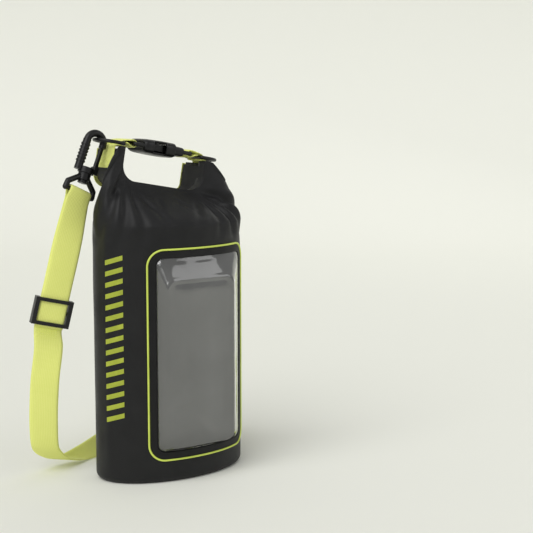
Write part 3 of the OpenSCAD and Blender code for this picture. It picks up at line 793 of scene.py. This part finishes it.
lime_bead, bead_shader, bead_add = node_material("lime_piping")
tinted(bead_add, bead_shader, (0.60, 0.72, 0.10), (0.70, 0.82, 0.14), 60)
mottle(bead_add, bead_shader, "Roughness", 120, 0.38, 0.52)
piping_fat = 0.00085
bead_loops = []
for k in range(10):
    a = math.tau * k / 10
    bead_loops.append(window_loop(0.0006 - piping_fat * math.cos(a), 0.0002 + piping_fat * (0.95 + math.sin(a))))
piping = loops_mesh("window_bead", bead_loops, "bag", True)
piping.data.materials.append(lime_bead)
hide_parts("window_piping")

# ---------------------------------------------------------------- phone pocket
# A grey lining sheet is welded to the wall behind the window at its sides and bottom. It makes the
# pocket, whose top is open.
lining_back = -0.0304
lining_half, lining_foot, lining_head = 0.052, 0.013, 0.2
lining_cols, lining_rows = 90, 96
verts, faces, where = [], [], []
for r in range(lining_rows + 1):
    z = lining_foot + (lining_head - lining_foot) * r / lining_rows
    for c in range(lining_cols + 1):
        s = window_run + lining_half * (2 * c / lining_cols - 1)
        x, y = oval(float(oval_turn(s)), -0.0016)
        free = min(1.0, (lining_half - abs(s - window_run)) / 0.01) * min(1.0, r / 8)
        slack = (0.0011 * noise.noise(Vector((s * 22, z * 9, 2.0)))
                 + 0.0006 * noise.noise(Vector((s * 60, z * 30, 5.0))))
        verts.append((float(x), max(float(y), lining_back) + free * slack, z))
        where.append((s, z))
for r in range(lining_rows):
    for c in range(lining_cols):
        a = r * (lining_cols + 1) + c
        faces.append((a, a + 1, a + lining_cols + 2, a + lining_cols + 1))
lining = new_object("pocket_lining", verts, faces, "bag")
lay_uv(lining, where)
thicken(lining, 0.0006)
grey, grey_shader, grey_add = node_material("lining_fabric")
weave_bump(grey_add, grey_shader, 0.0009, 0.0001, 0.3)
tinted(grey_add, grey_shader, (0.105, 0.106, 0.108), (0.150, 0.151, 0.153), 30)
mottle(grey_add, grey_shader, "Roughness", 60, 0.55, 0.7)
lining.data.materials.append(grey)
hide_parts("phone_sleeve")

# ---------------------------------------------------------------- clear window film
# One sheet of clear soft film, pressed so that a flat panel stands out from the curved front on slanted
# sides. It is glossy and a little wavy, and creases lightly where the sides meet.
panel_wide, panel_tall, panel_corner, panel_foot = 0.068, 0.148, 0.008, 0.032
panel_middle = Vector((0.003, -0.0498, panel_foot + panel_tall / 2))
film_rim = window_loop(0.0083, 0.0007)
panel_loop = [panel_middle + Vector((x, 0, z)) for x, z in outline(panel_wide, panel_tall, panel_corner)]


def even_loop(loop, count):
    """The same closed loop with evenly spaced points, from the one nearest the lower right corner."""
    start = max(range(len(loop)), key=lambda k: loop[k].x - loop[k].z)
    loop = loop[start:] + loop[:start]
    quarter = [0]
    for want in (lambda p: p.x + p.z, lambda p: p.z - p.x, lambda p: -p.x - p.z):
        quarter.append(max(range(len(loop)), key=lambda k: want(loop[k])))
    quarter.append(len(loop))
    shares = (0.34, 0.16, 0.34, 0.16)
    out = []
    for (a, b), share in zip(zip(quarter, quarter[1:]), shares):
        part = [loop[k % len(loop)] for k in range(a, b + 1)]
        run = [0.0]
        for k in range(1, len(part)):
            run.append(run[-1] + (part[k] - part[k - 1]).length)
        want = int(round(count * share))
        for k in range(want):
            d = run[-1] * k / want
            i = min(max(int(np.searchsorted(run, d, side="right")) - 1, 0), len(part) - 2)
            out.append(part[i].lerp(part[i + 1], (d - run[i]) / max(run[i + 1] - run[i], 1e-9)))
    return out


# Both loops are matched corner by corner, so that the slanted sides don't twist.
film_points, slant_rows, panel_rows = 300, 14, 24
core_half, panel_swell = 0.040, 0.0010
film_rim, panel_loop = even_loop(film_rim, film_points), even_loop(panel_loop, film_points)
film_loops = []
for k in range(slant_rows + 1):
    u = k / slant_rows
    eased = u + 0.10 * math.sin(2 * math.pi * u) / 2
    film_loops.append([a.lerp(b, eased) for a, b in zip(film_rim, panel_loop)])
for k in range(1, panel_rows + 1):
    u = k / panel_rows
    shrink = []
    for p in panel_loop:
        core = panel_middle + Vector((0, 0, max(-core_half, min(core_half, p.z - panel_middle.z))))
        q = p.lerp(core, u)
        q.y -= panel_swell * math.sin(math.pi / 2 * min(1.0, u * 2.2))
        shrink.append(q)
    film_loops.append(shrink)
for row, loop in enumerate(film_loops):
    creases = (0.0007 * math.exp(-((row - slant_rows - 0.5) / 0.9) ** 2)
               + 0.0005 * math.exp(-((row - 1.5) / 0.8) ** 2))
    for p in loop:
        ripple = (0.00055 * noise.noise(Vector((p.x * 34, 4.0, p.z * 15)))
                  + 0.00022 * noise.noise(Vector((p.x * 90, 9.0, p.z * 60))))
        if row <= slant_rows:
            wave = noise.noise(Vector((p.x * 60, 1.0, p.z * 36)))
            ripple = ripple * row / slant_rows + 0.0004 * math.sin(math.pi * row / slant_rows) * wave
        p.y -= ripple + creases
film = loops_mesh("clear_window", film_loops, "bag")
lay_uv(film, [(v.co.x, v.co.z) for v in film.data.vertices])
clear, clear_shader, clear_add = node_material("clear_film")
surface_end = clear_shader.id_data.nodes["Material Output"]
clear_shader.id_data.nodes.remove(clear_shader)
see_through = clear_add("BsdfTransparent")
see_through.inputs["Color"].default_value = (0.90, 0.905, 0.90, 1)
shine = clear_add("BsdfAnisotropic", Roughness=0.09)
shine.inputs["Color"].default_value = (1, 1, 1, 1)
milk = clear_add("BsdfDiffuse")
milk.inputs["Color"].default_value = (0.62, 0.63, 0.62, 1)
facing = clear_add("Fresnel", IOR=1.55)
stronger = clear_add("Math", operation="MULTIPLY_ADD")
stronger.inputs[1].default_value = 1.5
stronger.inputs[2].default_value = 0.05
haze_place = clear_add("TexCoord")
haze = clear_add("TexNoise", Scale=26, Detail=4.0)
haze_range = clear_add("MapRange", To_Min=0.03, To_Max=0.10)
cloudy = clear_add("MixShader")
glossed = clear_add("MixShader")
join(haze_place, "Object", haze, "Vector")
join(haze, "Fac", haze_range, "Value")
join(haze_range, "Result", cloudy, 0)
join(see_through, 0, cloudy, 1)
join(milk, 0, cloudy, 2)
join(facing, 0, stronger, 0)
join(stronger, 0, glossed, 0)
join(cloudy, 0, glossed, 1)
join(shine, 0, glossed, 2)
join(glossed, 0, surface_end, "Surface")
film.data.materials.append(clear)
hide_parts("window_film")

# ---------------------------------------------------------------- printed bars
# A plain column of slanted lime bars beside the window. It is screen-printed on the cloth before the
# tube is welded, as a thin layer of ink.
bar_count, bar_cols, bar_rows = 15, 10, 4
bars_low, bar_pitch, bar_tall, bar_slant = 0.055, 0.0098, 0.0042, 0.0048
bars_left, bars_right = -0.0800, -0.0640
ink_lift = 0.00022
verts, faces, where = [], [], []
for bar in range(bar_count):
    base = len(verts)
    for r in range(bar_rows + 1):
        for c in range(bar_cols + 1):
            s = bars_left + (bars_right - bars_left) * c / bar_cols
            z = bars_low + bar * bar_pitch + bar_tall * r / bar_rows + bar_slant * c / bar_cols
            verts.append(on_cloth(s, z, ink_lift))
            where.append((s, z))
    for r in range(bar_rows):
        for c in range(bar_cols):
            a = base + r * (bar_cols + 1) + c
            faces.append((a, a + 1, a + bar_cols + 2, a + bar_cols + 1))
bars = new_object("printed_bars", verts, faces, "bag")
lay_uv(bars, where)
ink, ink_shader, ink_add = node_material("lime_print")
weave_bump(ink_add, ink_shader, 0.0007, 0.0001, 0.25)
tinted(ink_add, ink_shader, (0.34, 0.40, 0.030), (0.43, 0.49, 0.045), 120)
mottle(ink_add, ink_shader, "Roughness", 90, 0.5, 0.65)
bars.data.materials.append(ink)

# ---------------------------------------------------------------- ear tabs
# A tab of lime webbing is sewn to the outside of each ear, runs up through a D-ring, passes round a bar
# of the buckle, and comes back under itself, where it is sewn again.
web_half = 0.0125
web_thick = 0.0016
tab_out = 0.0484
ring_bar = 0.0404
tab_top = 0.0318
buckle_high = 0.0332
buckle_bar = 0.029
housing_bar = 0.0300


def tab_path(bar):
    """The tab's line seen edge-on, from the foot of the ear round the buckle's bar to its sewn end."""
    line = [(tab_out, 0.009), (tab_out, 0.015), (tab_out + 0.0002, 0.022), (tab_out, 0.0268),
            (tab_out - 0.0011, 0.0289), (tab_out - 0.0034, 0.0296)]
    over_ring, over_bar = 0.0027, 0.0030
    for k in range(8):
        a = math.radians(-65 + 150 * k / 7)
        line.append((ring_bar + over_ring * math.cos(a), tab_top + over_ring * math.sin(a)))
    span = ring_bar - bar
    line += [(ring_bar - 0.25 * span, 0.0352), (ring_bar - 0.7 * span, 0.0360)]
    for k in range(8):
        a = math.radians(95 + 165 * k / 7)
        line.append((bar + over_bar * math.cos(a), buckle_high + over_bar * math.sin(a)))
    line += [(bar + 0.22 * span, 0.0310), (bar + 0.5 * span, 0.0327), (bar + 0.72 * span, 0.0330)]
    return line


def sewn_cross(name, spot, along, across, out, tall, body):
    """A sewn rectangle with a cross in it. Tall is its size along the webbing."""
    wide = web_half * 0.78
    corners = [spot + along * (tall / 2 * a) + across * (wide * b) for a, b in ((-1, -1), (1, -1), (1, 1), (-1, 1))]
    for k, run in enumerate((corners + [corners[0]], corners[::2], corners[1::2])):
        stitch_line(f"{name}_{k}", run, [out] * len(run), body, 0.0016, 0.0007, 0.00026)


for side, label, far in ((-1, "left", None), (1, "right", "buckle_half")):
    rows = []
    for x, z in tab_path(buckle_bar if far else housing_bar):
        rows.append((to_world(side * x, -web_half * side, z), to_world(side * x, web_half * side, z)))
    tab, _ = strip_mesh(f"tab_webbing_{label}", rows, web_thick, None if far else "bag", 12, 0.0010)
    tab.data.materials.append(lime)
    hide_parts(f"tab_{label}")
    along = (Vector(to_world(0, 0, 1)) - Vector(to_world(0, 0, 0))).normalized()
    out = (Vector(to_world(side, 0, 0)) - Vector(to_world(0, 0, 0))).normalized()
    sewn_cross(f"tab_sewing_{label}", Vector(to_world(side * (tab_out + 0.0009), 0, 0.0165)), along,
               Vector((0, 1, 0)), out, 0.0115, "bag")
    top = (Vector(to_world(side * 0.030, 0, 0.0362)) - Vector(to_world(side * 0.038, 0, 0.0351))).normalized()
    lift = top.cross(Vector((0, 1, 0))) * -side
    if lift.z < 0:
        lift = -lift
    tack_side = Vector((0, web_half * 0.85, 0))
    for k in range(4):
        spot = Vector(to_world(side * (0.0320 + 0.0013 * k), 0, 0.0360 - 0.00015 * k)) + lift * 0.00075
        stitch_line(f"tab_tack_{label}_{k}", [spot - tack_side, spot + tack_side], [lift] * 2, far or "bag",
                    0.0015, 0.0004, 0.00026)
    if far:
        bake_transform(tab)

# ---------------------------------------------------------------- D-rings
# Three D-rings of black moulded plastic, round in section. Each is held by its straight side in a loop
# of webbing, and swings in it.
moulded, moulded_shader, moulded_add = node_material("hardware_plastic")
tinted(moulded_add, moulded_shader, (0.0060, 0.0060, 0.0063), (0.0090, 0.0090, 0.0094), 140)
mottle(moulded_add, moulded_shader, "Roughness", 160, 0.30, 0.44)
moulded_shader.inputs["Specular IOR Level"].default_value = 0.34
spark_place = moulded_add("TexCoord")
spark = moulded_add("TexNoise", Scale=2600, Detail=2.0)
spark_bump = moulded_add("Bump", Strength=0.12, Distance=0.00005)
join(spark_place, "Object", spark, "Vector")
join(spark, "Fac", spark_bump, "Height")
join(spark_bump, "Normal", moulded_shader, "Normal")
for node in ("ring_left", "ring_right", "ring_low"):
    dress(node, moulded)


# ---------------------------------------------------------------- side-release buckle
# Injection-moulded in two halves. The housing is bowed on both faces and open at the sides, where the
# sprung prongs of the other half stand in it. Low ribs cross both faces of the grip.
def shell_loft(name, stations, body, skip=None):
    """A moulding through rounded sections, each with its x, half width and half thickness. Faces that skip
    picks are left open, and the wall is then as thick as the real one."""
    wall, power, around = 0.0018, 4.5, 56
    verts, faces = [], []
    for x, hw, ht in stations:
        for k in range(around):
            a = math.tau * k / around
            y = hw * math.copysign(abs(math.cos(a)) ** (2 / power), math.cos(a))
            z = ht * math.copysign(abs(math.sin(a)) ** (2 / power), math.sin(a))
            verts.append(to_world(x, y, buckle_high + z))
    for j in range(len(stations) - 1):
        x = (stations[j][0] + stations[j + 1][0]) / 2
        for k in range(around):
            a = math.tau * (k + 0.5) / around
            if skip and skip(x, a):
                continue
            m = (k + 1) % around
            faces.append((j * around + k, (j + 1) * around + k, (j + 1) * around + m, j * around + m))
    if not skip:
        faces.append(tuple(range(around)))
        faces.append(tuple((len(stations) - 1) * around + k for k in range(around))[::-1])
    made = new_object(name, verts, faces, body)
    if skip:
        thicken(made, wall)
    made.data.materials.append(moulded)
    return made


def web_frame(name, start, end, side, body):
    """The flat U of rod that holds the webbing: two rails and the bar across their ends."""
    reach, rail, bar, turn, around = 0.01435, 0.0011, 0.0018, 0.0020, 16
    line = [(start, -reach)]
    for k in range(9):
        a = math.radians(90 * k / 8)
        line.append((end - side * turn * (1 - math.sin(a)), -reach + turn * (1 - math.cos(a))))
    line = line + [(x, -y) for x, y in reversed(line)]
    verts, faces = [], []
    for k, (x, y) in enumerate(line):
        x0, y0 = line[max(k - 1, 0)]
        x1, y1 = line[min(k + 1, len(line) - 1)]
        d = math.hypot(x1 - x0, y1 - y0)
        nx, ny = (y1 - y0) / d, -(x1 - x0) / d
        fat = bar if abs(y) < reach - turn - 0.0001 else rail
        for q in range(around):
            a = math.tau * q / around
            u, v = math.cos(a), math.sin(a)
            verts.append(to_world(x + nx * fat * u, y + ny * fat * u, buckle_high + bar * v))
    for k in range(len(line) - 1):
        for q in range(around):
            m = (q + 1) % around
            faces.append((k * around + q, k * around + m, (k + 1) * around + m, (k + 1) * around + q))
    made = new_object(name, verts, faces, body)
    made.data.materials.append(moulded)


def grip_ribs(name, places, half, body, top_at):
    """Low rounded ribs across both faces."""
    verts, faces = [], []
    for x in places:
        for face_side in (-1, 1):
            base = len(verts)
            for k in range(9):
                y = half * (2 * k / 8 - 1)
                tip = math.sqrt(max(0.0, 1 - abs(2 * k / 8 - 1) ** 6))
                for q in range(7):
                    a = math.pi * q / 6
                    z = top_at(x) - 0.0002 + 0.0006 * math.sin(a) * tip
                    verts.append(to_world(x + 0.00055 * math.cos(a), y, buckle_high + face_side * z))
            for k in range(8):
                for q in range(6):
                    a = base + k * 7 + q
                    face = (a, a + 1, a + 8, a + 7)
                    faces.append(face if face_side < 0 else face[::-1])
    made = new_object(name, verts, faces, body)
    made.data.materials.append(moulded)


def bow(x):
    """Half thickness of the buckle along it."""
    return 0.0050 - 0.0009 * (x / 0.021) ** 2


housing = []
for k in range(41):
    x = -0.020 + 0.030 * k / 40
    end_round = min(1.0, (k + 0.6) / 5)
    squeeze = math.sqrt(max(0.0, 1 - (1 - end_round) ** 2))
    waist = 0.0007 * math.exp(-((x + 0.0055) / 0.0045) ** 2)
    flare = 0.0003 * max(0.0, (x - 0.006) / 0.004)
    housing.append((x, (0.0122 + 0.0032 * squeeze) - waist + flare, bow(x) * (0.45 + 0.55 * squeeze)))
female = shell_loft("buckle_housing", housing, "bag",
                    lambda x, a: -0.0120 < x < 0.0010 and abs(math.sin(a)) < 0.62)
shell_loft("buckle_housing_end",
           [(-0.0203, 0.0118, 0.0018), (-0.0200, 0.0130, 0.0030), (-0.0190, 0.0136, 0.0034)], "bag")
web_frame("buckle_housing_bar", -0.0188, -housing_bar, -1, "bag")
grip_ribs("buckle_housing_ribs", (-0.0165, -0.0148, -0.0131), 0.0075, "bag", bow)
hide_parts("buckle_female")
stem = []
for k in range(21):
    x = 0.0103 + 0.0107 * k / 20
    end_round = min(1.0, (20 - k + 0.6) / 5)
    squeeze = math.sqrt(max(0.0, 1 - (1 - end_round) ** 2))
    stem.append((x, 0.0122 + 0.0033 * squeeze, bow(x) * (0.45 + 0.55 * squeeze)))
male = shell_loft("buckle_grip", stem, "buckle_half")
web_frame("buckle_grip_bar", 0.0198, buckle_bar, 1, "buckle_half")
grip_ribs("buckle_grip_ribs", (0.0130, 0.0147, 0.0164), 0.0075, "buckle_half", bow)
shell_loft("buckle_tongue", [(-0.0100, 0.0012, 0.0009), (-0.0090, 0.0020, 0.0016), (0.0104, 0.0020, 0.0016)],
           "buckle_half")
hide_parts("buckle_male")
for node in ("prong_front", "prong_back"):
    dress(node, moulded)

# ---------------------------------------------------------------- low anchor
# A patch of lime webbing is sewn on low at the back. A loop of the same webbing, sewn on over it, carries
# the low D-ring.
anchor_turn = math.radians(130)
anchor_run = float(oval_run(anchor_turn))
anchor_out = Vector((0.588711, 0.808343, 0.0))
anchor_side = Vector((-anchor_out.y, anchor_out.x, 0))
ring_seat = Vector((0.0582165, 0.032486, 0.063))
patch_rows = []
for z in np.linspace(0.026, 0.069, 12):
    patch_rows.append((on_cloth(anchor_run - web_half, z, 0.0010), on_cloth(anchor_run + web_half, z, 0.0010)))
patch, _ = strip_mesh("anchor_webbing", patch_rows, web_thick, "bag", 14, 0.0015)
patch.data.materials.append(lime)
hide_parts("anchor_patch")
sewn_half, sewn_low, sewn_high = 0.0108, 0.0275, 0.0675
sewn_corners = ((-1, sewn_low), (1, sewn_low), (1, sewn_high), (-1, sewn_high), (-1, sewn_low))
stitch_run = []
for (s0, z0), (s1, z1) in zip(sewn_corners, sewn_corners[1:]):
    for k in range(8):
        u = k / 8
        stitch_run.append(on_cloth(anchor_run + (s0 + (s1 - s0) * u) * sewn_half, z0 + (z1 - z0) * u, 0.0019))
stitch_line("anchor_sewing", stitch_run, [anchor_out] * len(stitch_run), "bag", 0.0018, 0.0008, 0.00028)
loop_round = 0.0026
loop_line = [(-0.0024, -0.0175), (-0.0025, -0.010), (-0.0026, -0.003)]
for k in range(10):
    a = math.radians(180 - 240 * k / 9)
    loop_line.append((loop_round * math.cos(a), loop_round * math.sin(a)))
loop_line += [(-0.0002, -0.0055), (-0.0005, -0.010), (-0.0006, -0.0165)]
rows = []
for n_out, up in loop_line:
    mid = ring_seat + anchor_out * n_out + Vector((0, 0, up))
    rows.append((mid - anchor_side * web_half, mid + anchor_side * web_half))
loop, _ = strip_mesh("anchor_loop_webbing", rows, web_thick, "bag", 12, 0.0010)
loop.data.materials.append(lime)
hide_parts("anchor_loop")
sewn_cross("anchor_cross", ring_seat + anchor_out * 0.0003 + Vector((0, 0, -0.0134)), Vector((0, 0, 1)),
           anchor_side, anchor_out, 0.0054, "bag")

# ---------------------------------------------------------------- swivel hooks
# Moulded snap hooks with a ribbed spine and a sprung gate on a steel pin. Each turns on a flanged neck
# held in an eye, round whose bar the strap is sewn.
for node in ("eye_top", "hook_top", "gate_top", "eye_low", "hook_low", "gate_low"):
    dress(node, moulded)
steel, steel_shader, steel_add = node_material("pin_steel")
steel_shader.inputs["Metallic"].default_value = 1.0
tinted(steel_add, steel_shader, (0.32, 0.32, 0.33), (0.42, 0.42, 0.43), 300)
mottle(steel_add, steel_shader, "Roughness", 400, 0.22, 0.38)
for node in ("gate_pin_top", "gate_pin_low"):
    dress(node, steel)

# ---------------------------------------------------------------- shoulder strap
# One length of flat lime webbing. It is doubled through the upper eye and the slider, hangs to the
# floor, turns on its edge behind the bag, and ends sewn round the lower eye. Flat webbing like this
# keeps its width, so it is laid along its own line.
eye_top = Vector((-0.0795561, 0.0159995, 0.253398))
eye_low = Vector((0.0948235, 0.0644882, 0.0164577))
eye_top_bar = Vector((0.894829, 0.221369, -0.387655))
eye_low_bar = Vector((0.446607, 0.354157, 0.821654))
slider_seat = Vector((-0.103, 0.025, 0.150))
strap_down = (slider_seat - eye_top).normalized()
slider_across = Vector((0.953017, -0.193643, -0.232938))
slider_out = Vector((0.207876, 0.977419, 0.0379487))
web_gap = 0.0003
bar_wrap = 0.0020 + web_gap + web_thick / 2
layer_half = (web_thick + web_gap) / 2


def across_row(mid, width):
    """The two edge points of the strap at one place of its middle."""
    return mid - width * web_half, mid + width * web_half


def slider_layer(s, face_side):
    """One of the two layers near the slider, that far above it."""
    return across_row(slider_seat + slider_out * (face_side * layer_half) - strap_down * s, slider_across)


def eye_layer(s, face_side):
    """One of the two layers under the upper eye, that far below its bar, where the strap twists."""
    share = s / 0.050
    width = (eye_top_bar * (1 - share) + slider_across * share).normalized()
    spread = 0.001 + 0.002 * (1 - s / 0.020)
    return across_row(eye_top + strap_down * s + slider_out * (face_side * spread), width)


def bar_turns(mid, bar, along):
    """Half a turn of webbing round an eye's bar."""
    u = (along - bar * along.dot(bar)).normalized()
    v = bar.cross(u)
    rows = []
    for k in range(9):
        a = math.radians(-90 + 180 * k / 8)
        rows.append(across_row(mid + (v * math.sin(a) - u * math.cos(a)) * bar_wrap, bar))
    return rows


hanging = (((-0.105, 0.029, 0.118), (0.93, -0.36, 0)), ((-0.107, 0.033, 0.090), (0.866, -0.5, 0)),
           ((-0.1065, 0.038, 0.064), (0.866, -0.5, 0.02)), ((-0.105, 0.042, 0.045), (0.87, -0.49, 0.04)))
on_floor = (((-0.113, 0.052, 0.027), (-0.091, 0.041, 0.025)), ((-0.108, 0.056, 0.019), (-0.085, 0.045, 0.017)),
            ((-0.098, 0.060, 0.012), (-0.075, 0.050, 0.009)), ((-0.086, 0.064, 0.008), (-0.062, 0.056, 0.004)),
            ((-0.076, 0.0665, 0.009), (-0.053, 0.061, 0.0014)), ((-0.066, 0.067, 0.012), (-0.047, 0.0635, 0.0009)),
            ((-0.055, 0.067, 0.016), (-0.041, 0.065, 0.0009)), ((-0.042, 0.068, 0.021), (-0.034, 0.067, 0.0009)),
            ((-0.028, 0.071, 0.025), (-0.025, 0.070, 0.0009)), ((-0.005, 0.076, 0.0259), (-0.005, 0.076, 0.0009)),
            ((0.020, 0.080, 0.0259), (0.020, 0.080, 0.0009)), ((0.045, 0.082, 0.0259), (0.044, 0.082, 0.0009)),
            ((0.066, 0.081, 0.0265), (0.063, 0.080, 0.0016)), ((0.082, 0.0785, 0.0278), (0.076, 0.0755, 0.0036)))
strap_rows = [slider_layer(-0.014, -1), slider_layer(0.020, -1), slider_layer(0.062, -1), eye_layer(0.016, -1),
              eye_layer(0.007, -1)]
strap_rows += bar_turns(eye_top, eye_top_bar, strap_down)
strap_rows += [eye_layer(0.007, 1), eye_layer(0.016, 1), slider_layer(0.062, 1), slider_layer(0.020, 1),
               slider_layer(-0.014, 1)]
strap_rows += [across_row(Vector(mid), Vector(width).normalized()) for mid, width in hanging]
strap_rows += list(on_floor)
low_start = (Vector(on_floor[-1][0]) + Vector(on_floor[-1][1])) / 2
low_along = (low_start - eye_low).normalized()
strap_rows += bar_turns(eye_low, eye_low_bar, low_along)
strap_rows.append(across_row(eye_low + low_along * 0.016 + eye_low_bar.cross(low_along) * (web_thick + 0.0016),
                             eye_low_bar))
strap, strap_length = strip_mesh("shoulder_strap", strap_rows, web_thick, "bag", 14, 0.0014)
strap.data.materials.append(lime)
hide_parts("strap_webbing")
tack_side = slider_across * (web_half * 0.88)
for k, down in enumerate((0.0155, 0.0175, 0.0195, 0.0215)):
    for layer, face_side in enumerate((-1, 1)):
        spot = slider_seat + strap_down * down + slider_out * (face_side * 0.0019)
        stitch_line(f"strap_tack_{k}_{layer}", [spot - tack_side, spot + tack_side], [slider_out * face_side] * 2,
                    "bag", 0.0016, 0.0004, 0.00028)

# ---------------------------------------------------------------- strap slider
# A moulded three-bar slide of black plastic, with two outer bars on one face and one middle bar on the
# other. The strap is threaded through it, and friction holds it where it is set.
dress("slider", moulded)
